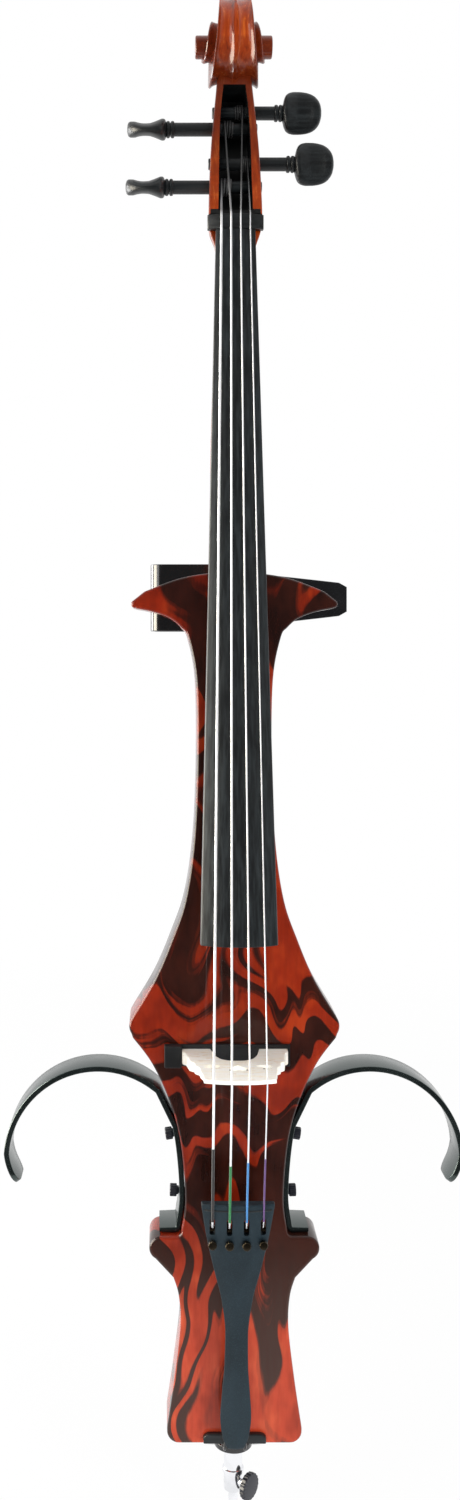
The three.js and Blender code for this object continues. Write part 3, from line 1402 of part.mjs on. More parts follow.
function stringRoute(name, n) {
  const radius = stringRadii[name];
  const peg = pegs[name];
  const centre = pegPlace(peg);
  const reach = pegBodyRadius + stringLift + radius;
  const nutX = stringX(n, nutSpread);
  const nutPoint = v3(nutX, nutTopY(nutX) - stringLift - radius, nutZ + gap);
  const nutBack = v3(nutX, nutPoint.y + radius / 3, nutZ + nutThickness);
  const back = centre.y - nutBack.y;
  const up = centre.z - nutBack.z;
  const first = Math.acos(reach / Math.hypot(back, up)) - Math.atan2(up, back);
  const pitch = 2 * radius + windingGap;
  const innerWall = boxHalfAt(peg.placeShare) - pegboxWall - pegRingEdge;
  const startX = peg.side * (innerWall - radius - gap - windingTurns * pitch);
  const loopSteps = 24;
  const winding = Array.from({ length: windingTurns * loopSteps + 1 }, (_, step) => {
    const angle = first + (2 * Math.PI * step) / loopSteps;
    return v3(
      startX + (peg.side * pitch * step) / loopSteps,
      centre.y - reach * Math.cos(angle),
      centre.z + reach * Math.sin(angle),
    );
  });
  const last = winding[winding.length - 1];
  const along = v3(0, Math.sin(first), Math.cos(first));
  const end = last.clone().addScaledVector(along, 2 * radius);
  const bridgeX = stringX(n, bridgeSpread);
  const bridgeEdges = [bridgeZ - bridgeTopThickness, bridgeZ].map((z) => v3(
    bridgeX, bridgeTopY(bridgeX) - stringLift - radius, z,
  ));
  const tailX = tailStringX[n];
  const over = (z) => tailSurfaceY(tailX, z) - stringLift - radius;
  const tailEdge = v3(tailX, over(tailTopZ), tailTopZ);
  const slotEdge = v3(tailX, over(slotTopZ), slotTopZ);
  const hook = v3(tailX, over(leverZ) + tailpieceCrown, leverZ + leverThickness / 2 + gap + radius);
  const points = [hook, slotEdge, tailEdge, ...bridgeEdges, nutPoint, nutBack, ...winding, end];
  return { points, winding, radius };
}

function leastSelfGap({ winding, radius }) {
  const apart = 12;
  let least = Infinity;
  winding.forEach((point, n) => winding.slice(n + apart).forEach((other) => {
    least = Math.min(least, point.distanceTo(other));
  }));
  return least - 2 * radius;
}

stringNames.forEach((name, n) => {
  const route = stringRoute(name, n);
  console.log(`string_${name}: least gap between its turns ${leastSelfGap(route).toFixed(2)} mm`);
  add(`string_${name}`, tube(route.points, route.radius), stringSteel);
});

// Tail gut: from the tailpiece over the saddle and round the flange's neck

function gutRoute() {
  const side = gutSpread / 2;
  const saddleTop = frontY - gap - saddleThickness - gap - gutRadius;
  const loopRadius = flangeNeckRadius + gap + gutRadius;
  const loopZ = flangeTop - flangeNeckHeight / 2;
  const under = bodyBottom - gap - gutRadius;
  const loopTurn = [-30, 210];
  const loop = arcPoints(v2(0, 0), loopRadius, ...loopTurn, 16).map((point) => v3(point.x, point.y, loopZ));
  const run = [
    v3(side / 2, saddleTop - gutRadius, gutHoleZ),
    v3(side * 0.8, saddleTop, bodyBottom + bodyEdge + saddleHeight),
    v3(side, saddleTop, bodyBottom + bodyEdge),
    v3(side, saddleTop + gutRadius, under - gutRadius / 2),
    v3(side * 1.2, frontY / 1.6, loopZ + gutRadius / 2),
  ];
  const mirrored = [...run].reverse().map((point) => v3(-point.x, point.y, point.z));
  return [...run, ...loop, ...mirrored];
}

add('tail_gut', tube(gutRoute(), gutRadius), gutCord);

export default assembly;
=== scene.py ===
import math

import bmesh
import bpy
from mathutils import Matrix, Vector


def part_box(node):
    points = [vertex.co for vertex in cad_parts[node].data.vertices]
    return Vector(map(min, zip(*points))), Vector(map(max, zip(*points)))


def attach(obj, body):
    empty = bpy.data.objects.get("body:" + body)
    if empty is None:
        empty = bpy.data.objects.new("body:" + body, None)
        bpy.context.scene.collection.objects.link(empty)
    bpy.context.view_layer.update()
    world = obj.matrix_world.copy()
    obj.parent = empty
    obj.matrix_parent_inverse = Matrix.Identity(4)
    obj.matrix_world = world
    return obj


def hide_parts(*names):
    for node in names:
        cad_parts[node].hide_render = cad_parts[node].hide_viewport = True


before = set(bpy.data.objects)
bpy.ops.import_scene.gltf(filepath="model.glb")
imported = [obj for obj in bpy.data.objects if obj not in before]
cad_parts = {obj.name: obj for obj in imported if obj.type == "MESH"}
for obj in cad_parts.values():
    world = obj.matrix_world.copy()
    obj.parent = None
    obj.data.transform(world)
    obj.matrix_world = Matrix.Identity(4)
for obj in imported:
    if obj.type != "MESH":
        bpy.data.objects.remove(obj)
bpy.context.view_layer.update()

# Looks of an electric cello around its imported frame. Geometry is worked out in millimetres and
# put into Blender in metres. +Z runs up the instrument and the front looks along -Y.

MM = 0.001
V = Vector


def edges(node):
    """A node's lowest and highest corners, in millimetres."""
    low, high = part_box(node)
    return V(low) / MM, V(high) / MM


# Driving dimensions, in millimetres, as in the part's source

GAP = 0.3
OVERRUN = 2  # how far a cutter goes past a face
AXIS = 0.3  # where a turned profile ends at its axis
BODY_LOW, BODY_HIGH = edges("body")
BODY_BOTTOM, BODY_TOP = BODY_LOW.z, BODY_HIGH.z
FRONT, BACK = BODY_LOW.y, BODY_HIGH.y
BODY_LENGTH = BODY_TOP - BODY_BOTTOM
BODY_EDGE = 2.6
BOTTOM_WIDTH = 114.4
BOTTOM_CORNER = 10
LOWER_WAIST_WIDTH = 91.2
EAR_SPAN = 144.6
EAR_RADIUS = 10
LEDGE_HEIGHT = 175
LEDGE_FILLET = 5
GRIP_WAIST_WIDTH = 83.4
WIDEST_WIDTH = 178.6
WIDEST_HEIGHT = 353.6
WIDEST_RADIUS = 12
WIDEST_TURN = (-33, 31)
WAIST_WIDTH = 63.6
HORN_SPAN = 175.4
HORN_HEIGHT = BODY_LENGTH - 26.6
HORN_TIP_RADIUS = 3.4
HORN_TIP_TURN = (-96, 56)

STRINGS = ("c", "g", "d", "a")
STRING_RADII = {"c": 1.0, "g": 0.85, "d": 0.7, "a": 0.55}
NUT_SPREAD = 24
BRIDGE_SPREAD = 42
TAIL_SPREAD = 41.4
WINDING_TURNS = 3
WINDING_GAP = 0.6
STRING_LIFT = 0.35
SILK_ENDS = {"c": 371.5, "g": 357.0, "d": 360.0, "a": 362.5}

BOARD_LOW, BOARD_HIGH = edges("fingerboard")
BOARD_BOTTOM, NUT_Z = BOARD_LOW.z, BOARD_HIGH.z
BOARD_LENGTH = NUT_Z - BOARD_BOTTOM
BOARD_NUT_WIDTH = 33
BOARD_END_WIDTH = 62
BOARD_ARCH = 62
BOARD_NUT_HEIGHT = 20
BOARD_END_HEIGHT = FRONT - BOARD_LOW.y
BOARD_NUT_EDGE = 6.3
BOARD_END_EDGE = 8
BOARD_WALL = 6.5
NUT_THICKNESS = 12.4
NUT_WIDTH = 47
NUT_RISE = 1.4

NECK_NUT_DEPTH = 20
NECK_HEEL_DEPTH = 22
NECK_HEEL_WIDTH = 43
NECK_HEEL_BACK = 17
HEEL_LENGTH = 66
TONGUE_LENGTH = 88
TONGUE_Z = BODY_TOP - TONGUE_LENGTH
PEGBOX_LENGTH = 117.3
PEGBOX_NUT_WIDTH = 44.8
PEGBOX_TOP_WIDTH = 30
PEGBOX_NUT_FRONT = 17.5
PEGBOX_TOP_FRONT = -1.5
PEGBOX_DEPTH = 38
PEGBOX_WALL = 8
PEGBOX_FLOOR = 26
PEGBOX_Z = NUT_Z + NUT_THICKNESS + GAP
PEGBOX_TOP_Z = PEGBOX_Z + PEGBOX_LENGTH
SCROLL_Z = PEGBOX_TOP_Z + 36
SCROLL_Y = FRONT + 14.5
SCROLL_RADIUS = 41.5
SCROLL_TOP_WIDTH = 24
EYE_RADIUS = 9.5
EYE_SPAN = 66
FLUTE_DEPTHS = (3.6, 1.8)

PEG_RADIUS = 5.65
PEG_BODY_RADIUS = 5.2
PEG_TIP_RADIUS = 4.8
PEG_DEPTH = 13.8
PEG_HEAD_LENGTH = 32.6
PEG_HEAD_HEIGHT = 36.4
PEG_HEAD_THICKNESS = 18
PEG_RING_RADIUS = 7
PEG_RING_WIDTH = 3
PEG_RING_EDGE = 1
PEG_TIP = 1.5
PEGS = {  # side, share of the pegbox's length, start of the head, degrees that the head is turned
    "c": (-1, 0.243, 59.7, 70),
    "g": (-1, 0.689, 58.5, 70),
    "d": (1, 0.815, 42.1, 0),
    "a": (1, 0.42, 51.7, 0),
}

BRIDGE_LOW, BRIDGE_HIGH = edges("bridge")
BRIDGE_Z = BRIDGE_HIGH.z
BRIDGE_FOOT_Y = BRIDGE_HIGH.y
BRIDGE_HEIGHT = 90
BRIDGE_RISE = BRIDGE_FOOT_Y - BRIDGE_LOW.y
BRIDGE_FOOT_SPAN = 89
BRIDGE_TOP_WIDTH = 57
BRIDGE_FOOT_THICKNESS = 12
BRIDGE_TOP_THICKNESS = 3
BRIDGE_ARCH = 66
BRIDGE_GATE_WIDTH = 41
BRIDGE_GATE_HEIGHT = 33
BRIDGE_DOT_SPREAD = 41
BRIDGE_DOT_ARCH = 56
BRIDGE_DOT_DROP = 28
PICKUP_LEFT = 15
PICKUP_RIGHT = 2.4
PICKUP_RIM = 9.3
PICKUP_THICKNESS = 2.6
PICKUP_STEP = 8

TAIL_TOP_Z = edges("tailpiece")[1].z
TAIL_LENGTH = 220.8
TAIL_TOP_WIDTH = 60
TAIL_TOP_HEIGHT = 57
TAIL_END_HEIGHT = 16
TAIL_EDGE = 7
TAIL_CROWN = 4
SLOT_WIDTH = 4.6
SLOT_LENGTH = 14
SLOT_TOP_Z = TAIL_TOP_Z - 12.5
SLOT_END_Z = SLOT_TOP_Z - SLOT_LENGTH
TUNER_Z = SLOT_END_Z - 7
FRET_DOWN = 5
FRET_RADIUS = 0.9
LEVER_WIDTH = 4
LEVER_THICKNESS = 2
LEVER_Z = SLOT_END_Z + 1.75 * LEVER_THICKNESS
TUNER_HEAD_RADIUS = 3.6
TUNER_HEAD_HEIGHT = 4.6
TUNER_SHANK_RADIUS = 1.5
SADDLE_WIDTH = 53
SADDLE_HEIGHT = 8
SADDLE_THICKNESS = 4.6
GUT_RADIUS = 1.25
GUT_SPREAD = 17
GUT_HOLE_Z = BODY_BOTTOM + SADDLE_HEIGHT + 3 * SADDLE_THICKNESS

KNEE_THICKNESS = 4.5
KNEE_RADIUS = 78.4
KNEE_TURN = (131, 8)
KNEE_TUCK = 3.8
KNEE_START_SHARE = 0.6751
KNEE_LEAVE_SHARE = 0.543
KNEE_HOOK_RADIUS = 50
KNEE_HOOK_TURN = 38
KNEE_FOOT = 16
KNEE_CORNER = 7
KNEE_END_ROUND = 11
KNEE_LOW, KNEE_HIGH = edges("knee_rest_right")
KNEE_SCREWS = {  # where the screw's neck leaves the strip, in X and Z, and the way out
    "lower": ((47.05, 299.54), (1.0, 0.029)),
    "upper": ((50.94, 349.57), (0.987, -0.160)),
}
SCREW_HEAD_RADIUS = 5.4
SCREW_HEAD_LENGTH = 6
SCREW_NECK_RADIUS = 3.6
SCREW_NECK_LENGTH = 1.6
SCREW_SHANK_RADIUS = 2.5
SCREW_IN_BODY = 12
KNEE_HOLE = KNEE_THICKNESS + SCREW_IN_BODY + 3 * GAP

CHEST_LOW, CHEST_HIGH = edges("chest_rest")
CHEST_Z = (CHEST_LOW.z + CHEST_HIGH.z) / 2
CHEST_HEIGHT = 59
CHEST_THICKNESS = 3.5
CHEST_LEFT = 71.5
CHEST_RIGHT = 107
CHEST_FRONT_END = 24
CHEST_DEPTH = 39
CHEST_BEND = 9
CHEST_END_HEIGHT = 30
CHEST_CORNER = 5
CHEST_SCREWS = [(x, CHEST_Z) for x in (-14, 10)]
BOLT_HEAD_RADIUS = 5
BOLT_HEAD_LENGTH = 4
BOLT_IN_NECK = 12.6

FLANGE_LOW, FLANGE_HIGH = edges("endpin_flange")
FLANGE_WIDTH = 49
FLANGE_DEPTH = 33
FLANGE_PLATE = 4.2
FLANGE_NECK_RADIUS = 12
FLANGE_NECK_HEIGHT = 7.9
SOCKET_LOW, SOCKET_HIGH = edges("endpin_socket")
SOCKET_RADIUS = 8
SOCKET_RING_RADIUS = 9.2
SOCKET_RING_HEIGHT = 4
SOCKET_RING_DROP = 1.3
ROD_RADIUS = 4
ROD_BORE_TOP = 386
FOOT_HEIGHT = 24
FOOT_RADIUS = 9
FOOT_TIP_RADIUS = 4.5
FOOT_SOCKET_DEPTH = 16
CLAMP_Z = SOCKET_LOW.z + SOCKET_RADIUS
CLAMP_DIRECTION = V((math.sin(math.radians(50)), -math.cos(math.radians(50)), 0))
CLAMP_HEAD_RADIUS = 11
CLAMP_HEAD_LENGTH = 5
CLAMP_NECK = 6.2
CLAMP_REACH = 12

PLATE_LOW, PLATE_HIGH = edges("control_plate")
CAVITY_Z = (PLATE_LOW.z + PLATE_HIGH.z) / 2
CAVITY_WIDTH = 104
CAVITY_HEIGHT = 62
CAVITY_DEPTH = 32
CAVITY_CORNER = 6
BATTERY_POCKET = (27.7, 55.2)
BATTERY_X = 38.15
BATTERY_POCKET_DEPTH = 19.7
MAIN_POCKET_WIDTH = 74.3
MAIN_POCKET_X = -14.85
PLATE_MARGIN = 9
KNOB_X = -40
KNOB_Z = {"volume": CAVITY_Z + 15.5, "tone": CAVITY_Z - 15.5}
KNOB_RADIUS = 9
KNOB_HOLE_RADIUS = 3.8
KNOB_BORE_RADIUS = 3.3
JACK_X, JACK_Z = 6.3, 444.25
JACK_HOLE_RADIUS = 5.8
JACK_BARREL_RADIUS = 5.5
JACK_BORE_RADIUS = 3.35
JACK_FACE_RADIUS = 8
JACK_STEP_Y = 24.7
SWITCH_X, SWITCH_Z = 6.3, 472.67
DOOR_THICKNESS = 2
PLATE_SCREWS = [(x, CAVITY_Z + z) for x, z in ((-56.5, 35.5), (56.5, 35.5), (-56.5, -35.5), (56.5, -35.5))]
PLATE_SCREW_HOLE = 1.8
PLATE_SCREW_DEPTH = 9.3
PLATE_SCREW_SIZES = (3.0, 1.5, 1.5)  # head radius, head length, shank radius


# Curves and outlines

def lerp(a, b, share):
    return a + (b - a) * share


def evenly(low, high, count):
    """Numbers from low to high in a count of even steps."""
    return [lerp(low, high, n / count) for n in range(count + 1)]


def mirrored(points):
    """Points across X = 0, in the opposite order."""
    return [V((-p.x, *p[1:])) for p in points[::-1]]


def at_height(points, z):
    return [V((x, y, z)) for x, y in points]


def spline(values, n, t):
    """A smooth curve's value between entries n and n + 1, at share t of the way."""
    before, a, b, after = values[max(n - 1, 0)], values[n], values[n + 1], values[min(n + 2, len(values) - 1)]
    return 0.5 * (2 * a + (b - before) * t + (2 * before - 5 * a + 4 * b - after) * t ** 2
                  + (3 * a - before - 3 * b + after) * t ** 3)


def superellipse(angle, square, x, y):
    """A point of an ellipse with half axes X and Y, which squares off as square passes 2."""
    c, s = math.cos(angle), math.sin(angle)
    return math.copysign(abs(c) ** (2 / square) * x, c), math.copysign(abs(s) ** (2 / square) * y, s)


def catmull(points, steps):
    """A smooth curve through points, with a number of steps to each span."""
    pts = [V(p) for p in points]
    return [spline(pts, n, k / steps) for n in range(len(pts) - 1) for k in range(steps)] + [pts[-1]]


def arc(centre, radius, start, end, steps):
    """Points of an arc between two angles in degrees."""
    angles = [math.radians(angle) for angle in evenly(start, end, steps)]
    return [V((centre[0] + radius * math.cos(a), centre[1] + radius * math.sin(a))) for a in angles]


def without_repeats(points, least):
    out = [points[0]]
    for point in points[1:]:
        if (point - out[-1]).length > least:
            out.append(point)
    return out


def area(points):
    pairs = zip(points, points[1:] + points[:1])
    return sum(a.x * b.y - b.x * a.y for a, b in pairs) / 2


def inset(points, distance):
    """A closed outline moved inwards by a distance; the outline runs anticlockwise."""
    out = []
    count = len(points)
    for n, point in enumerate(points):
        ahead = (points[(n + 1) % count] - point).normalized()
        behind = (point - points[n - 1]).normalized()
        along = (ahead + behind).normalized()
        stretch = max(along.dot(ahead), 0.5)
        out.append(point + V((-along.y, along.x)) * distance / stretch)
    return out


def softened(points, radius, steps=3, closed=False):
    """A line of points whose corners are rounded."""
    pts = [V(p) for p in points]
    count = len(pts)
    out = []
    for n, point in enumerate(pts):
        if not closed and n in (0, count - 1):
            out.append(point)
            continue
        before, after = pts[n - 1] - point, pts[(n + 1) % count] - point
        reach = min(radius, 0.45 * before.length, 0.45 * after.length)
        start, end = point + before.normalized() * reach, point + after.normalized() * reach
        for k in range(steps + 1):
            t = k / steps
            out.append(start * (1 - t) ** 2 + point * 2 * t * (1 - t) + end * t ** 2)
    return out


def table_value(table, share):
    """The value at a share, between a table's pairs of share and value."""
    n = 1
    while n < len(table) - 1 and table[n][0] < share:
        n += 1
    (before, low), (after, high) = table[n - 1], table[n]
    return lerp(low, high, (share - before) / (after - before))


def smooth_value(places, values, at):
    """A value on a smooth curve through a table, which never overshoots."""
    last = len(places) - 1

    def slope(i):
        if i in (0, last):
            j = 0 if i == 0 else last - 1
            return (values[j + 1] - values[j]) / (places[j + 1] - places[j])
        a = (values[i] - values[i - 1]) / (places[i] - places[i - 1])
        b = (values[i + 1] - values[i]) / (places[i + 1] - places[i])
        return 0 if a * b <= 0 else 2 * a * b / (a + b)

    n = 0
    while n < last - 1 and places[n + 1] < at:
        n += 1
    span = places[n + 1] - places[n]
    t = (at - places[n]) / span
    return ((2 * t ** 3 - 3 * t ** 2 + 1) * values[n] + (t ** 3 - 2 * t ** 2 + t) * span * slope(n)
            + (3 * t ** 2 - 2 * t ** 3) * values[n + 1] + (t ** 3 - t ** 2) * span * slope(n + 1))


def rounded_rectangle(width, height, radius, centre=(0, 0), steps=8):
    x, y = width / 2 - radius, height / 2 - radius
    corners = ((x, y, 0), (-x, y, 90), (-x, -y, 180), (x, -y, 270))
    return [p for cx, cy, start in corners
            for p in arc((centre[0] + cx, centre[1] + cy), radius, start, start + 90, steps)]


# Meshes

def mesh_object(name, points, faces):
    mesh = bpy.data.meshes.new(name)
    mesh.from_pydata([V(p) * MM for p in points], [], faces)
    mesh.validate()
    obj = bpy.data.objects.new(name, mesh)
    bpy.context.scene.collection.objects.link(obj)
    return obj


def face_out(obj):
    """Turns a closed mesh's faces outwards."""
    bm = bmesh.new()
    bm.from_mesh(obj.data)
    bmesh.ops.recalc_face_normals(bm, faces=bm.faces)
    bm.to_mesh(obj.data)
    bm.free()
    return obj


def loft(name, rows, capped=True):
    """A solid through matching rings of points, with flat ends."""
    count = len(rows[0])
    points = [point for row in rows for point in row]
    faces = []
    for n in range(len(rows) - 1):
        for i in range(count):
            a, b = n * count + i, n * count + (i + 1) % count
            faces.append((a, b, b + count, a + count))
    if capped:
        faces.append(tuple(range(count))[::-1])
        faces.append(tuple((len(rows) - 1) * count + i for i in range(count)))
    return face_out(mesh_object(name, points, faces))


def rounded_rows(outline, low, high, edge, steps, place):
    """Rings of a plate between two levels whose rims are rounded by edge."""
    pts = [V(p) for p in outline]
    pts = pts if area(pts) > 0 else pts[::-1]
    angles = evenly(0, math.pi / 2, steps)
    levels = ([(edge * 1.15, low)] + [(edge * (1 - math.sin(a)), low + edge * (1 - math.cos(a))) for a in angles]
              + [(edge * (1 - math.sin(a)), high - edge * (1 - math.cos(a))) for a in angles[::-1]]
              + [(edge * 1.15, high)])
    return [[place(p, level) for p in inset(pts, sunk)] for sunk, level in levels]


def plate(name, outline, low, high, edge, steps):
    """A plate of an outline in X and Z, from Y = low to Y = high."""
    return loft(name, rounded_rows(outline, low, high, edge, steps, lambda p, level: V((p.x, level, p.y))))


def prism(outline, low, high):
    """As plate, with square rims, for cutting."""
    pts = [V(p) for p in outline]
    return loft("cut", [[V((p.x, level, p.y)) for p in pts] for level in (low, high)])


def block(name, low, high, edge):
    """A box with rounded edges."""
    outline = rounded_rectangle(high[0] - low[0], high[2] - low[2], 1.6 * edge,
                                ((low[0] + high[0]) / 2, (low[2] + high[2]) / 2), 3)
    return plate(name, outline, low[1], high[1], edge, 2)


def cutter(low, high):
    """A box with square edges, for cutting."""
    (x0, y0, z0), (x1, y1, z1) = low, high
    return prism([(x0, z0), (x1, z0), (x1, z1), (x0, z1)], y0, y1)


def circle(sides):
    """Even angles round a circle."""
    return [2 * math.pi * i / sides for i in range(sides)]


def about(origin, direction):
    """A function that puts a radius, an angle and a height about a line into space."""
    turn = V((0, 0, 1)).rotation_difference(V(direction).normalized()).to_matrix()
    return lambda radius, angle, height: V(origin) + turn @ V((radius * math.cos(angle), radius * math.sin(angle),
                                                                height))


def turned(name, profile, origin=(0, 0, 0), direction=(0, 0, 1), sides=48, lobes=0, depth=0.0, lobed=()):
    """A turned solid about a direction, from pairs of radius and height; rings in lobed are knurled."""
    put = about(origin, direction)
    rows = []
    for n, (radius, height) in enumerate(profile):
        knurl = depth if lobes and lobed[0] <= n <= lobed[1] else 0
        rows.append([put(radius - knurl * (0.5 - 0.5 * math.cos(lobes * a)), a, height) for a in circle(sides)])
    return loft(name, rows)


def pipe(name, profile, origin=(0, 0, 0), direction=(0, 0, 1), sides=48):
    """A turned solid whose profile closes on itself."""
    put = about(origin, direction)
    rings = [[put(radius, angle, height) for radius, height in profile] for angle in circle(sides)]
    return loft(name, rings + rings[:1], capped=False)


def rod(start, end, radius, sides=32):
    """A round rod, for cutting."""
    along = V(end) - V(start)
    return turned("cut", [(radius, 0), (radius, along.length)], start, along, sides)


def holes(places, low, high, radius, sides=24):
    """Rods along Y at places in X and Z, for cutting."""
    return [rod((x, low, z), (x, high, z), radius, sides) for x, z in places]


def tangents(points):
    last = len(points) - 1
    return [(points[min(n + 1, last)] - points[max(n - 1, 0)]).normalized() for n in range(last + 1)]


def strip(name, path, thickness, edge, half, place):
    """A strip along a flat path; half gives its half width at each point, place puts a corner where it belongs."""
    rows = []
    for n, (point, along) in enumerate(zip(path, tangents(path))):
        section = rounded_rectangle(thickness, 2 * half(n, point), edge, steps=3)
        if n in (0, len(path) - 1):
            section = inset(section, 0.5)
        rows.append([place(point + V((-along.y, along.x)) * p.x, p.y) for p in section])
    return loft(name, rows)


def tube(name, points, radius, sides=14):
    """A round cord along points, with flat ends."""
    pts = [V(p) for p in points]
    ways = tangents(pts)
    normal = V((1, 0.3, 0.2)).cross(ways[0]).normalized()
    rows = []
    for point, way in zip(pts, ways):
        normal = (normal - way * normal.dot(way)).normalized()
        other = way.cross(normal)
        rows.append([point + radius * (math.cos(a) * normal + math.sin(a) * other) for a in circle(sides)])
    return loft(name, rows)


def apply_modifiers(obj):
    depsgraph = bpy.context.evaluated_depsgraph_get()
    mesh = bpy.data.meshes.new_from_object(obj.evaluated_get(depsgraph))
    obj.modifiers.clear()
    obj.data = mesh
    return obj


def boolean(obj, others, operation):
    """Joins or cuts a solid with others, which are used up."""
    for other in others:
        modifier = obj.modifiers.new("cut", "BOOLEAN")
        modifier.operation = operation
        modifier.solver = "EXACT"
        modifier.object = other
        apply_modifiers(obj)
        if not obj.data.vertices:
            raise RuntimeError(f"{obj.name} is lost when {other.name} is taken into it")
        bpy.data.objects.remove(other)
    return obj


def cut(obj, *tools):
    return boolean(obj, tools, "DIFFERENCE")


def join(obj, *others):
    return boolean(obj, others, "UNION")


def bevelled(obj, width):
    modifier = obj.modifiers.new("bevel", "BEVEL")
    modifier.width = width * MM
    modifier.segments = 2
    modifier.limit_method = "ANGLE"
    modifier.angle_limit = math.radians(35)
    return apply_modifiers(obj)


def moved(obj, change):
    """Moves each corner of a mesh to change(corner), in millimetres."""
    for vertex in obj.data.vertices:
        vertex.co = change(vertex.co / MM) * MM
    return obj


def dress(obj, body, slot, material, nodes=(), smooth=32):
    """Gives a piece its body, material and shading, and the nodes that it stands for; slot is not used."""
    obj.data.shade_smooth()
    obj.data.set_sharp_from_angle(angle=math.radians(smooth))
    obj.data.materials.clear()
    obj.data.materials.append(material)
    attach(obj, body)
    if nodes:
        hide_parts(*nodes)
    return obj


# Materials: each is worked out from a piece's own coordinates, in metres

def colour(*parts):
    """A colour from its 0 to 255 parts."""
    shares = [part / 255 for part in parts]
    return tuple(s / 12.92 if s <= 0.04045 else ((s + 0.055) / 1.055) ** 2.4 for s in shares) + (1.0,)


class Nodes:
    """The nodes of one shader tree."""

    def __init__(self, tree):
        self.tree = tree

    def put(self, value, socket):
        """Links another node's output to a socket, or sets the socket's own value."""
        if isinstance(value, bpy.types.NodeSocket):
            self.tree.links.new(value, socket)
        else:
            socket.default_value = value

    def add(self, kind, inputs=None, **settings):
        made = self.tree.nodes.new("ShaderNode" + kind)
        for key, value in settings.items():
            setattr(made, key, value)
        for key, value in (inputs or {}).items():
            self.put(value, made.inputs[key])
        return made

    def math(self, operation, *values):
        return self.add("Math", dict(enumerate(values)), operation=operation).outputs[0]

    def between(self, value, *ends):
        """A value taken from one range to another: both ends of the first, then both of the second."""
        names = "Value", "From Min", "From Max", "To Min", "To Max"
        return self.add("MapRange", dict(zip(names, (value, *ends)))).outputs[0]

    def either(self, share, a, b):
        """Number a at share 0, and b at share 1."""
        return self.add("Mix", {0: share, 2: a, 3: b}).outputs[0]


class Finish(Nodes):
    """A material on one Principled shader, and its nodes. Colours are tuples of parts from 0 to 255."""

    def __init__(self, name, **sockets):
        self.material = bpy.data.materials.new(name)
        self.material.use_nodes = True
        super().__init__(self.material.node_tree)
        self.shader = self.tree.nodes["Principled BSDF"]
        self.place = self.add("TexCoord").outputs["Object"]
        for key, value in sockets.items():
            self.set(key.replace("_", " ").title().replace("Ior", "IOR"), value)

    def set(self, key, value):
        self.put(value, self.shader.inputs[key])

    def axes(self, place=None):
        return self.add("SeparateXYZ", {0: place or self.place}).outputs

    def scaled(self, scale, shift=(0, 0, 0), place=None):
        return self.add("Mapping", {"Vector": place or self.place, "Scale": scale,
                                    "Location": shift}).outputs["Vector"]

    def noise(self, scale, detail=2.0, roughness=0.5, shift=(0, 0, 0), place=None, distortion=0.0):
        """Noise with so many waves to a metre along X, Y and Z."""
        return self.add("TexNoise", {"Vector": self.scaled(scale, shift, place), "Scale": 1.0,
                                     "Detail": detail, "Roughness": roughness,
                                     "Distortion": distortion}).outputs["Fac"]

    def waves(self, scale, distortion):
        """Rings round Z."""
        return self.add("TexWave", {"Vector": self.place, "Scale": scale, "Distortion": distortion},
                        bands_direction="Z").outputs["Fac"]

    def swing(self, value, size):
        """A value about its middle 0.5, as a change of size at most half each way."""
        return self.math("MULTIPLY", self.math("SUBTRACT", value, 0.5), size)

    def ramp(self, value, *stops):
        """Numbers or colours over a value: pairs of place and what is there."""
        made = self.add("ValToRGB", {"Fac": value})
        made.color_ramp.interpolation = "EASE"
        elements = made.color_ramp.elements
        while len(elements) < len(stops):
            elements.new(0.5)
        for element, (place, what) in zip(elements, stops):
            element.position = place
            element.color = colour(*what) if isinstance(what, tuple) else (what, what, what, 1.0)
        return made.outputs["Color"]

    def mix(self, share, a, b, kind="MIX"):
        made = self.add("Mix", data_type="RGBA", blend_type=kind)
        for index, value in ((0, share), (6, a), (7, b)):
            self.put(colour(*value) if isinstance(value, tuple) else value, made.inputs[index])
        return made.outputs[2]

    def over(self, base, tone, value, start, end, share):
        """A colour over another, up to a share as a value goes from start to end."""
        return self.mix(self.ramp(value, (start, 0.0), (end, share)), base, tone)

    def done(self, base, value, rough, *bump):
        """Sets the colour, the roughness from one end of a value to the other, and the bump."""
        self.set("Base Color", base)
        self.set("Roughness", self.ramp(value, (0.3, rough[0]), (0.7, rough[1])))
        return self.bump(*bump)

    def bump(self, height, strength, distance_mm):
        self.set("Normal", self.add("Bump", {"Height": height, "Strength": strength,
                                             "Distance": distance_mm * MM}).outputs["Normal"])
        return self.material


